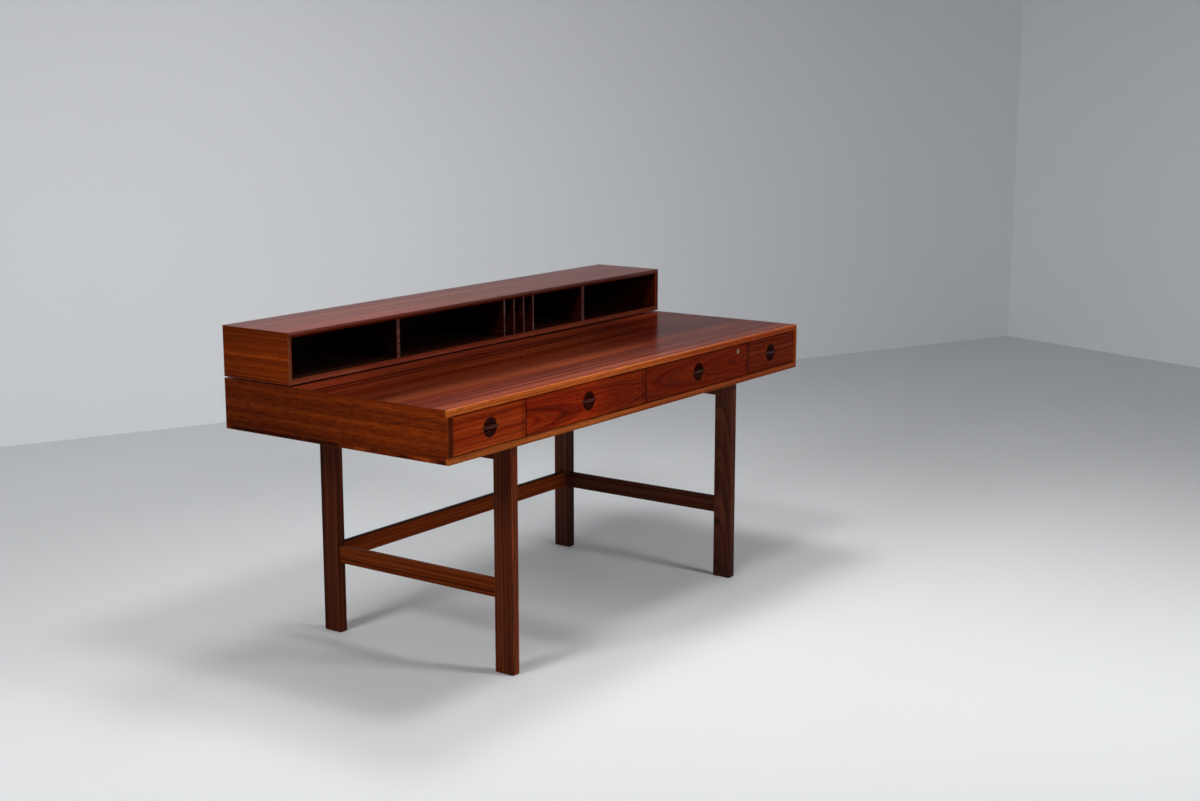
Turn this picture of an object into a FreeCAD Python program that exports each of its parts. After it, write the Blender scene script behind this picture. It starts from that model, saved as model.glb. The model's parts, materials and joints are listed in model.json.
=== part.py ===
"""Flip-top partners desk in rosewood: a parametric model in millimetres.

The desk stands on the floor at Z = 0 with its middle over the origin. X runs along its width, its
drawers face -Y and Z points up. Every board, joint and fitting takes its size and its place from the
sheet of sizes below.
"""
import FreeCAD
import Part
import Sketcher
import os
import re

doc = FreeCAD.newDocument("PartnersDesk")

# Driving sizes in millimetres
SIZES = [
    ("desk_width", 1630),
    ("desk_depth", 734),
    ("leg_height", 599),
    ("leg_width", 26),
    ("leg_depth", 57),
    ("leg_inset_side", 282),
    ("leg_inset_front", 40),
    ("leg_inset_rear", 47),
    ("leg_edge_radius", 1.5),
    ("foot_chamfer", 2.5),
    ("rail_thickness", 18),
    ("top_rail_height", 50),
    ("stretcher_height", 46),
    ("stretcher_bottom", 195),
    ("tenon_length", 16),
    ("tenon_thickness", 8),
    ("tenon_shoulder", 8),
    ("case_screw_radius", 2.5),
    ("case_screw_head_radius", 5),
    ("case_screw_head_height", 4),
    ("case_screw_grip", 11),
    ("case_screw_pitch", 190),
    ("screw_clearance", 0.1),
    ("case_height", 130),
    ("case_panel", 16),
    ("case_back_thickness", 12),
    ("lipping_depth", 8),
    ("partition_thickness", 14),
    ("partition_from_end", 292.5),
    ("partition_gap", 1.5),
    ("front_thickness", 20),
    ("front_setback", 0.8),
    ("front_gap_side", 2.5),
    ("front_gap_height", 3),
    ("drawer_length", 520),
    ("drawer_side_thickness", 12),
    ("drawer_side_height", 76),
    ("drawer_side_lift", 6),
    ("drawer_side_clearance", 1.5),
    ("drawer_back_thickness", 12),
    ("drawer_back_drop", 6),
    ("drawer_bottom_thickness", 4),
    ("drawer_bottom_lift", 8),
    ("drawer_bottom_tongue", 5),
    ("dovetail_depth", 13),
    ("dovetail_width", 20),
    ("dovetail_flare", 3),
    ("dovetail_spacing", 38),
    ("runner_height", 11),
    ("runner_engagement", 6),
    ("runner_overrun", 10),
    ("runner_stop", 30),
    ("runner_clearance", 0.3),
    ("pull_recess_radius", 25.75),
    ("pull_recess_depth", 15),
    ("pull_length", 75),
    ("pull_height", 10),
    ("pull_depth", 9),
    ("pull_bow", 3.5),
    ("pull_proud", 0.6),
    ("pull_section_radius", 5.6),
    ("lock_from_edge", 50),
    ("lock_from_top", 17),
    ("lock_barrel_radius", 7),
    ("lock_barrel_proud", 0.8),
    ("lock_plug_radius", 5),
    ("lock_running_gap", 0.06),
    ("lock_cam_radius", 7.5),
    ("lock_cam_thickness", 3),
    ("lock_crank_radius", 5.66),
    ("lock_crank_pin_radius", 1.5),
    ("lock_slide_clearance", 0.3),
    ("lock_case_wall", 2),
    ("lock_bolt_width", 20),
    ("lock_bolt_thickness", 6),
    ("lock_bolt_below", 15),
    ("lock_case_below_edge", 1),
    ("lock_keyway_width", 1.4),
    ("lock_keyway_height", 6),
    ("lock_keyway_depth", 5),
    ("lock_mortise_depth", 6.5),
    ("lock_mortise_margin", 1.2),
    ("hutch_gap", 4),
    ("hutch_height", 130),
    ("hutch_depth", 230),
    ("hutch_panel", 13),
    ("hutch_back_thickness", 8),
    ("hutch_bevel_width", 7),
    ("hutch_bevel_depth", 2.5),
    ("divider_thickness", 12),
    ("divider_from_end", 402.5),
    ("divider_setback", 3),
    ("divider_tongue", 3),
    ("letter_divider_thickness", 6),
    ("letter_divider_start", 35),
    ("letter_divider_pitch", 44.5),
    ("hinge_length", 60),
    ("hinge_leaf_width", 28),
    ("hinge_leaf_thickness", 2),
    ("hinge_from_end", 195),
    ("hinge_knuckle_radius", 3),
    ("hinge_knuckle_length", 20),
    ("hinge_pin_radius", 1.5),
    ("hinge_pin_gap", 0.06),
    ("hinge_running_gap", 0.3),
    ("hinge_rear_gap", 0.15),
    ("hinge_screw_radius", 1.6),
    ("hinge_screw_head_radius", 3.2),
    ("hinge_screw_length", 11),
    ("hinge_screw_pitch", 20),
    ("hinge_screw_inset", 13),
    ("pad_radius", 7),
    ("pad_from_end", 55),
    ("pad_inset", 18),
    ("pad_clearance", 0.2),
]
LETTER_DIVIDERS = 4
CASE_SCREWS_PER_RAIL = 3

sheet = doc.addObject("Spreadsheet::Sheet", "Sizes")
for row, (alias, number) in enumerate(SIZES, start=1):
    sheet.set(f"A{row}", alias)
    sheet.set(f"B{row}", str(number))
    sheet.setAlias(f"B{row}", alias)
doc.recompute()

ALIASES = {alias for alias, _ in SIZES}
NODES = []


def formula(text):
    """Points every size named in the text at its cell of the sheet."""
    return re.sub(r"[a-z_]+", lambda found: "Sizes." + found[0] if found[0] in ALIASES else found[0], text)


def bind(item, prop, text):
    """Ties a property of an object to a formula of the sizes."""
    item.setExpression(prop, formula(text))


def place(item, x, y, z):
    """Ties an object's position to formulas of the sizes."""
    for axis, text in zip("xyz", (x, y, z)):
        bind(item, "Placement.Base." + axis, text)


def node(item, label):
    """Names an object as one finished piece of the desk."""
    item.Label = label
    NODES.append(item)
    return item


def board(name, start, size):
    """A square-edged board from its low corner and its lengths along X, Y and Z."""
    item = doc.addObject("Part::Box", name)
    for prop, text in zip(("Length", "Width", "Height"), size):
        bind(item, prop, text)
    place(item, *start)
    return item


AXES = {
    "X": FreeCAD.Rotation(FreeCAD.Vector(0, 1, 0), 90),
    "Y": FreeCAD.Rotation(FreeCAD.Vector(1, 0, 0), -90),
    "Z": FreeCAD.Rotation(),
}


def rod(name, start, axis, radius, length):
    """A cylinder that starts at a point and runs along +X, +Y or +Z."""
    item = doc.addObject("Part::Cylinder", name)
    item.Placement = FreeCAD.Placement(FreeCAD.Vector(), AXES[axis])
    bind(item, "Radius", radius)
    bind(item, "Height", length)
    place(item, *start)
    return item


def group(name, items):
    """Several separate solids as one object."""
    item = doc.addObject("Part::Compound", name)
    item.Links = list(items)
    return item


def fuse(name, items):
    """Several solids joined into one."""
    item = doc.addObject("Part::MultiFuse", name)
    item.Shapes = list(items)
    item.Refine = True
    return item


def cut(name, base, tools):
    """A solid with other solids taken out of it."""
    item = doc.addObject("Part::Cut", name)
    item.Base = base
    item.Tool = tools[0] if len(tools) == 1 else group(name + "_tools", tools)
    return item


def common(name, first, second):
    """The space that two solids share."""
    item = doc.addObject("Part::Common", name)
    item.Base = first
    item.Tool = second
    return item


def outline(body, role, corners):
    """A closed outline on one of the body's origin planes, each corner tied to the sizes."""
    sketch = body.newObject("Sketcher::SketchObject", body.Name + "_outline")
    plane = next(item for item in body.Origin.OriginFeatures if item.Role == role)
    sketch.AttachmentSupport = (plane, [""])
    sketch.MapMode = "FlatFace"
    count = len(corners)
    turn = FreeCAD.Rotation(FreeCAD.Vector(0, 0, 1), 360 / count)
    spot = FreeCAD.Vector(100, 0, 0)
    for _ in corners:
        following = turn.multVec(spot)
        sketch.addGeometry(Part.LineSegment(spot, following))
        spot = following
    for side in range(count):
        sketch.addConstraint(Sketcher.Constraint("Coincident", side, 2, (side + 1) % count, 1))
    for side, corner in enumerate(corners):
        for kind, text in zip(("DistanceX", "DistanceY"), corner):
            index = sketch.addConstraint(Sketcher.Constraint(kind, -1, 1, side, 1, 1.0))
            bind(sketch, f"Constraints[{index}]", text)
    return sketch


def pad(name, role, corners, length):
    """A body padded from an outline on one of its origin planes."""
    body = doc.addObject("PartDesign::Body", name)
    sketch = outline(body, role, corners)
    feature = body.newObject("PartDesign::Pad", name + "_pad")
    feature.Profile = sketch
    bind(feature, "Length", length)
    sketch.Visibility = False
    return body


# Planes that pieces share
LEFT, RIGHT = "(-desk_width / 2)", "(desk_width / 2)"
FRONT, REAR = "(-desk_depth / 2)", "(desk_depth / 2)"
CASE_FLOOR = "leg_height"
CASE_CEILING = "(leg_height + case_height)"
OPENING_FLOOR = "(leg_height + case_panel)"
OPENING_HEIGHT = "(case_height - 2 * case_panel)"
HUTCH_FLOOR = "(leg_height + case_height + hutch_gap)"
HUTCH_FRONT = "(desk_depth / 2 - hutch_depth)"
DRAWER_FACE = "(-desk_depth / 2 + front_setback)"
DRAWER_SEAM = "(-desk_depth / 2 + front_setback + front_thickness)"
HINGE_Y = "(desk_depth / 2 + hinge_rear_gap)"
HINGE_Z = "(leg_height + case_height + hutch_gap / 2)"

LEG_LEFT = "(-desk_width / 2 + leg_inset_side)"
LEG_RIGHT = "(desk_width / 2 - leg_inset_side - leg_width)"
LEG_FRONT = "(-desk_depth / 2 + leg_inset_front)"
LEG_REAR = "(desk_depth / 2 - leg_inset_rear - leg_depth)"
RAIL_INSET = "(leg_width - rail_thickness) / 2"
RAIL_START = "(-desk_depth / 2 + leg_inset_front + leg_depth)"
RAIL_LENGTH = "(desk_depth - leg_inset_front - leg_inset_rear - 2 * leg_depth)"
REAR_RAIL_START = "(-desk_width / 2 + leg_inset_side + leg_width)"
REAR_RAIL_LENGTH = "(desk_width - 2 * leg_inset_side - 2 * leg_width)"
TENON_INSET = "(rail_thickness - tenon_thickness) / 2"


# Base: two leg frames joined by a rear stretcher
def side_rail(name, leg_x, z, height):
    """A rail between a front and a rear leg, with a tenon on each end."""
    x = f"{leg_x} + {RAIL_INSET}"
    rail = board(name + "_rail", (x, RAIL_START, z), ("rail_thickness", RAIL_LENGTH, height))
    tenon = board(
        name + "_tenon",
        (f"{x} + {TENON_INSET}", f"{RAIL_START} - tenon_length", f"{z} + tenon_shoulder"),
        ("tenon_thickness", f"{RAIL_LENGTH} + 2 * tenon_length", f"{height} - 2 * tenon_shoulder"),
    )
    return fuse(name + "_joined", [rail, tenon])


def case_screws(side, leg_x):
    """Screws that go up through a top rail into the underside of the case, with their bores."""
    screws = []
    bores = []
    x = f"{leg_x} + leg_width / 2"
    foot = "leg_height - top_rail_height"
    shank = "top_rail_height - case_screw_head_height + case_screw_grip"
    for index in range(CASE_SCREWS_PER_RAIL):
        y = f"{RAIL_START} + {RAIL_LENGTH} / 2 + {index - 1} * case_screw_pitch"
        for kind, extra, made in (("screw", "0", screws), ("bore", "screw_clearance", bores)):
            name = f"case_{kind}_{side}_{index}"
            head = rod(name + "_head", (x, y, foot), "Z", f"case_screw_head_radius + {extra}",
                       "case_screw_head_height")
            body = rod(name + "_shank", (x, y, f"{foot} + case_screw_head_height"), "Z",
                       f"case_screw_radius + {extra}", shank)
            made.append(fuse(name, [head, body]))
    return screws, bores


def picked_edges(shape, wanted):
    """The names of a shape's edges that a test picks out."""
    return [f"Edge{number}" for number, edge in enumerate(shape.Edges, start=1) if wanted(edge)]


def is_upright(edge):
    """Whether an edge runs straight up."""
    return abs(edge.tangentAt(edge.FirstParameter).z) > 0.99


def leg(name, x, y, mortises):
    """A square leg with eased corners, a chamfered foot and mortises for its rails."""
    body = pad(name + "_post", "XY_Plane", [
        ("0", "0"), ("leg_width", "0"), ("leg_width", "leg_depth"), ("0", "leg_depth"),
    ], "leg_height")
    place(body, x, y, "0")
    doc.recompute()
    post = body.Tip
    chamfer = body.newObject("PartDesign::Chamfer", name + "_foot")
    chamfer.Base = (post, picked_edges(post.Shape, lambda edge: edge.BoundBox.ZMax < 0.001))
    bind(chamfer, "Size", "foot_chamfer")
    doc.recompute()
    eased = body.newObject("PartDesign::Fillet", name + "_eased")
    eased.Base = (chamfer, picked_edges(chamfer.Shape, is_upright))
    bind(eased, "Radius", "leg_edge_radius")
    return node(cut(name, body, mortises), name)


rear_stretcher_y = f"{LEG_REAR} + (leg_depth - rail_thickness) / 2"
rear_stretcher = node(fuse("rear_stretcher", [
    board("rear_stretcher_rail", (REAR_RAIL_START, rear_stretcher_y, "stretcher_bottom"),
          (REAR_RAIL_LENGTH, "rail_thickness", "stretcher_height")),
    board("rear_stretcher_tenon",
          (f"{REAR_RAIL_START} - tenon_length", f"{rear_stretcher_y} + {TENON_INSET}",
           "stretcher_bottom + tenon_shoulder"),
          (f"{REAR_RAIL_LENGTH} + 2 * tenon_length", "tenon_thickness",
           "stretcher_height - 2 * tenon_shoulder")),
]), "rear_stretcher")

all_case_screws = []
all_case_bores = []
for side, leg_x in (("left", LEG_LEFT), ("right", LEG_RIGHT)):
    screws, bores = case_screws(side, leg_x)
    all_case_screws += screws
    all_case_bores += bores
    top_blank = side_rail(f"top_rail_{side}", leg_x, "(leg_height - top_rail_height)", "top_rail_height")
    top_rail = node(cut(f"top_rail_{side}", top_blank, bores), f"top_rail_{side}")
    stretcher = node(side_rail(f"side_stretcher_{side}", leg_x, "stretcher_bottom", "stretcher_height"),
                     f"side_stretcher_{side}")
    leg(f"leg_front_{side}", leg_x, LEG_FRONT, [top_blank, stretcher])
    leg(f"leg_rear_{side}", leg_x, LEG_REAR, [top_blank, stretcher, rear_stretcher])
node(group("case_screws", all_case_screws), "case_screws")


# Hinges at the rear edge, on which the hutch flips over
def hinge_x(index):
    """The middle of a hinge along X."""
    return f"({index - 1} * (desk_width / 2 - hinge_from_end))"


def hinge_screws(side, index, face_z, points_down):
    """The countersunk screws of one hinge leaf, with their heads flush in it."""
    made = []
    axis_turn = 180 if points_down else 0
    for position in (-1, 0, 1):
        name = f"hinge_screw_{side}_{index}_{position + 1}"
        head = doc.addObject("Part::Cone", name + "_head")
        shank = doc.addObject("Part::Cylinder", name + "_shank")
        turned = FreeCAD.Rotation(FreeCAD.Vector(1, 0, 0), axis_turn)
        head.Placement = FreeCAD.Placement(FreeCAD.Vector(), turned)
        shank.Placement = FreeCAD.Placement(FreeCAD.Vector(), turned)
        bind(head, "Radius1", "hinge_screw_head_radius")
        bind(head, "Radius2", "hinge_screw_radius")
        bind(head, "Height", "hinge_leaf_thickness")
        bind(shank, "Radius", "hinge_screw_radius")
        bind(shank, "Height", "hinge_screw_length")
        x = f"{hinge_x(index)} + {position} * hinge_screw_pitch"
        for piece in (head, shank):
            place(piece, x, "desk_depth / 2 - hinge_screw_inset", face_z)
        made.append(fuse(name, [head, shank]))
    return made


def hinge_leaf(side, index, low_z, own, other, screws):
    """One brass leaf with its knuckles, cleared round the other leaf's knuckles."""
    name = f"hinge_{side}_leaf_{index}"
    middle = hinge_x(index)
    plate = board(name + "_plate",
                  (f"{middle} - hinge_length / 2", "desk_depth / 2 - hinge_leaf_width", low_z),
                  ("hinge_length", "hinge_leaf_width + hinge_rear_gap", "hinge_leaf_thickness"))
    rooms = []
    for start, length in other:
        rooms.append(rod(f"{name}_room_{len(rooms)}",
                         (f"{middle} + {start} - hinge_running_gap", HINGE_Y, HINGE_Z), "X",
                         "hinge_knuckle_radius + hinge_running_gap", f"{length} + 2 * hinge_running_gap"))
    knuckles = []
    for start, length in own:
        knuckles.append(rod(f"{name}_knuckle_{len(knuckles)}",
                            (f"{middle} + {start}", HINGE_Y, HINGE_Z), "X", "hinge_knuckle_radius", length))
    blank = fuse(name + "_blank", [cut(name + "_cleared", plate, rooms)] + knuckles)
    bore = rod(name + "_bore", (f"{middle} - hinge_length", HINGE_Y, HINGE_Z), "X",
               "hinge_pin_radius + hinge_pin_gap", "2 * hinge_length")
    return cut(name, blank, [bore] + screws)


case_knuckles = [
    ("(-hinge_length / 2)", "(hinge_length - hinge_knuckle_length) / 2 - hinge_running_gap"),
    ("(hinge_knuckle_length / 2 + hinge_running_gap)",
     "(hinge_length - hinge_knuckle_length) / 2 - hinge_running_gap"),
]
hutch_knuckles = [("(-hinge_knuckle_length / 2)", "hinge_knuckle_length")]
case_leaves = []
hutch_leaves = []
hinge_pins = []
case_leaf_screws = []
hutch_leaf_screws = []
hinge_rooms = []
for index in range(3):
    lower_screws = hinge_screws("case", index, CASE_CEILING, True)
    upper_screws = hinge_screws("hutch", index, HUTCH_FLOOR, False)
    case_leaf_screws += lower_screws
    hutch_leaf_screws += upper_screws
    case_leaves.append(hinge_leaf("case", index, f"{CASE_CEILING} - hinge_leaf_thickness",
                                  case_knuckles, hutch_knuckles, lower_screws))
    hutch_leaves.append(hinge_leaf("hutch", index, HUTCH_FLOOR,
                                   hutch_knuckles, case_knuckles, upper_screws))
    hinge_start = f"{hinge_x(index)} - hinge_length / 2"
    hinge_pins.append(rod(f"hinge_pin_{index}", (hinge_start, HINGE_Y, HINGE_Z), "X",
                          "hinge_pin_radius", "hinge_length"))
    hinge_rooms.append(rod(f"hinge_room_{index}",
                           (f"{hinge_start} - hinge_running_gap", HINGE_Y, HINGE_Z), "X",
                           "hinge_knuckle_radius + hinge_running_gap",
                           "hinge_length + 2 * hinge_running_gap"))
    for side, low_z in (("case", f"{CASE_CEILING} - hinge_leaf_thickness"), ("hutch", HUTCH_FLOOR)):
        hinge_rooms.append(board(f"{side}_leaf_room_{index}",
                                 (hinge_start, "desk_depth / 2 - hinge_leaf_width", low_z),
                                 ("hinge_length", "2 * hinge_leaf_width", "hinge_leaf_thickness")))
node(group("hinge_case_leaves", case_leaves), "hinge_case_leaves")
node(group("hinge_hutch_leaves", hutch_leaves), "hinge_hutch_leaves")
node(group("hinge_pins", hinge_pins), "hinge_pins")
node(group("hinge_case_screws", case_leaf_screws), "hinge_case_screws")
node(group("hinge_hutch_screws", hutch_leaf_screws), "hinge_hutch_screws")


# Drawers: the walls that each one runs between and the edges of its front, from left to right
CASE_WALL_LEFT = "(-desk_width / 2 + case_panel)"
CASE_WALL_RIGHT = "(desk_width / 2 - case_panel)"
PARTITIONS = [
    ("left", "(-desk_width / 2 + partition_from_end)"),
    ("centre", "0"),
    ("right", "(desk_width / 2 - partition_from_end)"),
]
walls = [CASE_WALL_LEFT]
edges = [f"({CASE_WALL_LEFT} + front_gap_side)"]
for _, middle in PARTITIONS:
    walls += [f"({middle} - partition_thickness / 2)", f"({middle} + partition_thickness / 2)"]
    edges += [f"({middle} - front_gap_side / 2)", f"({middle} + front_gap_side / 2)"]
walls.append(CASE_WALL_RIGHT)
edges.append(f"({CASE_WALL_RIGHT} - front_gap_side)")

SIDE_FOOT = f"({OPENING_FLOOR} + drawer_side_lift)"
SIDE_MIDDLE = f"({OPENING_FLOOR} + drawer_side_lift + drawer_side_height / 2)"
DRAWER_END = f"({DRAWER_FACE} + drawer_length)"
BOTTOM_Z = f"({OPENING_FLOOR} + drawer_side_lift + drawer_bottom_lift)"
RUNNER_START = f"({DRAWER_SEAM} + runner_stop)"
RUNNER_LENGTH = "(drawer_length - front_thickness - runner_stop + runner_overrun)"
FRONT_FOOT = f"({OPENING_FLOOR} + front_gap_height)"
FRONT_HEIGHT = f"({OPENING_HEIGHT} - 2 * front_gap_height)"
PULL_Z = f"({OPENING_FLOOR} + {OPENING_HEIGHT} / 2)"
RECESS_SPHERE = "((pull_recess_radius ^ 2 + pull_recess_depth ^ 2) / (2 * pull_recess_depth))"
PULL_ARC = "((pull_length ^ 2 / 4 + pull_height ^ 2 / 4) / pull_height)"
PULL_BOW_ARC = "((pull_length ^ 2 / 4 + pull_bow ^ 2) / (2 * pull_bow))"


def dovetails(root_y, tip_y, rising):
    """The corners of two tails on the end of a drawer side, in order up or down the end."""
    corners = []
    for place_sign in ((-1, 1) if rising else (1, -1)):
        middle = f"drawer_side_height / 2 + {place_sign} * dovetail_spacing / 2"
        step = -1 if rising else 1
        corners += [
            (root_y, f"{middle} + {step} * dovetail_width / 2"),
            (tip_y, f"{middle} + {step} * (dovetail_width / 2 + dovetail_flare)"),
            (tip_y, f"{middle} - {step} * (dovetail_width / 2 + dovetail_flare)"),
            (root_y, f"{middle} - {step} * dovetail_width / 2"),
        ]
    return corners


def drawer_side(name, x, tools):
    """A drawer side with dovetails at both ends, grooved for its runner and its bottom."""
    inner_end = "(drawer_length - front_thickness - drawer_back_thickness)"
    outer_end = "(drawer_length - front_thickness)"
    corners = [("0", "0"), (inner_end, "0")]
    corners += dovetails(inner_end, outer_end, True)
    corners += [(inner_end, "drawer_side_height"), ("0", "drawer_side_height")]
    corners += dovetails("0", "-dovetail_depth", False)
    body = pad(name + "_blank", "YZ_Plane", corners, "drawer_side_thickness")
    place(body, x, DRAWER_SEAM, SIDE_FOOT)
    return cut(name, body, tools)


def pull_bar(name, x):
    """A pointed bar: a lens from the front, bowed along its length and round in section."""
    y = f"{DRAWER_FACE} - pull_proud"
    rise = f"({PULL_ARC} - pull_height / 2)"
    start_y = f"{DRAWER_FACE} - 2 * pull_depth"
    upper = rod(name + "_upper", (x, start_y, f"{PULL_Z} - {rise}"), "Y", PULL_ARC, "3 * pull_depth")
    lower = rod(name + "_lower", (x, start_y, f"{PULL_Z} + {rise}"), "Y", PULL_ARC, "3 * pull_depth")
    lens = common(name + "_lens", upper, lower)
    bow = rod(name + "_bow", (x, f"{y} + {PULL_BOW_ARC}", f"{PULL_Z} - pull_height"), "Z", PULL_BOW_ARC,
              "2 * pull_height")
    section = rod(name + "_section", (f"{x} - pull_length", f"{y} + pull_section_radius", PULL_Z), "X",
                  "pull_section_radius", "2 * pull_length")
    slab = board(name + "_slab", (f"{x} - pull_length", y, f"{PULL_Z} - pull_height"),
                 ("2 * pull_length", "pull_depth", "2 * pull_height"))
    notch = common(name + "_notch", lens, slab)
    bar = common(name + "_bowed", common(name + "_rounded", lens, section), bow)
    return common(name, bar, slab), notch


def drawer(number, wall_left, wall_right, edge_left, edge_right, lock_barrel=None):
    """All the pieces of one drawer and the two runners that carry it."""
    name = f"drawer_{number}"
    side_left = f"({wall_left} + drawer_side_clearance)"
    side_right = f"({wall_right} - drawer_side_clearance)"
    box_width = f"({side_right} - {side_left})"
    middle = f"({edge_left} + {edge_right}) / 2"

    bottom = node(board(
        name + "_bottom",
        (f"{side_left} + drawer_side_thickness - drawer_bottom_tongue",
         f"{DRAWER_SEAM} - drawer_bottom_tongue", BOTTOM_Z),
        (f"{box_width} - 2 * drawer_side_thickness + 2 * drawer_bottom_tongue",
         "drawer_length - front_thickness + drawer_bottom_tongue", "drawer_bottom_thickness"),
    ), name + "_bottom")

    runners = []
    grooves = []
    groove_depth = "(runner_engagement + runner_clearance)"
    runner_low = f"{SIDE_MIDDLE} - runner_height / 2"
    for hand, runner_x, groove_x in (
        ("left", wall_left, side_left),
        ("right", f"{side_right} - runner_engagement", f"{side_right} - {groove_depth}"),
    ):
        runners.append(board(
            f"{name}_runner_{hand}", (runner_x, f"{RUNNER_START} + runner_clearance", runner_low),
            ("drawer_side_clearance + runner_engagement", RUNNER_LENGTH, "runner_height"),
        ))
        grooves.append(board(
            f"{name}_groove_{hand}", (groove_x, RUNNER_START, f"{runner_low} - runner_clearance"),
            (groove_depth, "drawer_length", "runner_height + 2 * runner_clearance"),
        ))

    left_side = drawer_side(name + "_left_side", side_left, [bottom, grooves[0]])
    right_side = drawer_side(name + "_right_side", f"{side_right} - drawer_side_thickness",
                             [bottom, grooves[1]])
    sides = node(group(name + "_sides", [left_side, right_side]), name + "_sides")

    back_blank = board(
        name + "_back_blank",
        (side_left, f"{DRAWER_END} - drawer_back_thickness", f"{BOTTOM_Z} + drawer_bottom_thickness"),
        (box_width, "drawer_back_thickness",
         "drawer_side_height - drawer_bottom_lift - drawer_bottom_thickness - drawer_back_drop"),
    )
    node(cut(name + "_back", back_blank, [sides] + grooves), name + "_back")

    bar, notch = pull_bar(name + "_pull", middle)
    node(bar, name + "_pull")
    recess = doc.addObject("Part::Sphere", name + "_recess")
    bind(recess, "Radius", RECESS_SPHERE)
    place(recess, middle, f"{DRAWER_FACE} + pull_recess_depth - {RECESS_SPHERE}", PULL_Z)
    front_blank = board(name + "_front_blank", (edge_left, DRAWER_FACE, FRONT_FOOT),
                        (f"{edge_right} - {edge_left}", "front_thickness", FRONT_HEIGHT))
    tools = [bottom, sides, fuse(name + "_pull_room", [recess, notch])]
    if lock_barrel is not None:
        tools.append(lock_barrel)
    node(cut(name + "_front", front_blank, tools), name + "_front")
    return runners


# Lock of the third drawer: a turned plug whose crank pin lifts a bolt into the desk top
LOCK_X = f"({edges[5]} - lock_from_edge)"
LOCK_Z = f"({FRONT_FOOT} + {FRONT_HEIGHT} - lock_from_top)"
LOCK_CAM_Y = f"({DRAWER_SEAM} + lock_case_wall)"
LOCK_BOLT_Y = f"({LOCK_CAM_Y} + lock_cam_thickness + lock_slide_clearance)"
LOCK_TOP = f"({FRONT_FOOT} + {FRONT_HEIGHT} - lock_case_below_edge)"
LOCK_SWING = "(lock_crank_radius * 0.5 ^ 0.5)"
BOLT_FOOT = f"({LOCK_Z} - lock_bolt_below)"
BOLT_CHAMBER_DEPTH = "(lock_bolt_thickness + 2 * lock_slide_clearance)"

lock_barrel = rod("lock_barrel", (LOCK_X, f"{DRAWER_FACE} - lock_barrel_proud", LOCK_Z), "Y",
                  "lock_barrel_radius", "front_thickness + lock_barrel_proud")
lock_case_foot = f"({BOLT_FOOT} - lock_slide_clearance - lock_case_wall)"
lock_case_half = "(lock_bolt_width / 2 + lock_slide_clearance + lock_case_wall)"
lock_case_depth = f"(2 * lock_case_wall + lock_cam_thickness + {BOLT_CHAMBER_DEPTH})"
lock_case = board("lock_case", (f"{LOCK_X} - {lock_case_half}", DRAWER_SEAM, lock_case_foot),
                  (f"2 * {lock_case_half}", lock_case_depth, f"{LOCK_TOP} - {lock_case_foot}"))
lock_plug_room = rod("lock_plug_room", (LOCK_X, f"{DRAWER_FACE} - 2 * lock_barrel_proud", LOCK_Z), "Y",
                     "lock_plug_radius + lock_running_gap",
                     "front_thickness + 2 * lock_barrel_proud + lock_case_wall")
lock_cam_room = rod("lock_cam_room", (LOCK_X, LOCK_CAM_Y, LOCK_Z), "Y",
                    "lock_cam_radius + lock_slide_clearance", "lock_cam_thickness + lock_slide_clearance")
lock_bolt_room = board(
    "lock_bolt_room",
    (f"{LOCK_X} - lock_bolt_width / 2 - lock_slide_clearance", f"{LOCK_CAM_Y} + lock_cam_thickness",
     f"{BOLT_FOOT} - lock_slide_clearance"),
    ("lock_bolt_width + 2 * lock_slide_clearance", BOLT_CHAMBER_DEPTH, "2 * case_height"),
)
node(cut("lock_body", fuse("lock_body_blank", [lock_barrel, lock_case]),
         [lock_plug_room, lock_cam_room, lock_bolt_room]), "lock_body")

plug_blank = fuse("lock_plug_blank", [
    rod("lock_plug_core", (LOCK_X, f"{DRAWER_FACE} - lock_barrel_proud", LOCK_Z), "Y", "lock_plug_radius",
        "front_thickness + lock_barrel_proud + lock_case_wall + lock_slide_clearance"),
    rod("lock_plug_cam", (LOCK_X, f"{LOCK_CAM_Y} + lock_slide_clearance", LOCK_Z), "Y", "lock_cam_radius",
        "lock_cam_thickness - lock_slide_clearance"),
    rod("lock_plug_crank", (f"{LOCK_X} + {LOCK_SWING}", f"{LOCK_CAM_Y} + lock_cam_thickness / 2",
                            f"{LOCK_Z} - {LOCK_SWING}"), "Y", "lock_crank_pin_radius",
        "lock_cam_thickness / 2 + lock_slide_clearance + lock_bolt_thickness"),
])
keyway = board("lock_keyway",
               (f"{LOCK_X} - lock_keyway_width / 2", f"{DRAWER_FACE} - 2 * lock_barrel_proud",
                f"{LOCK_Z} - lock_keyway_height / 2"),
               ("lock_keyway_width", "lock_keyway_depth + lock_barrel_proud", "lock_keyway_height"))
node(cut("lock_plug", plug_blank, [keyway]), "lock_plug")

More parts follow.
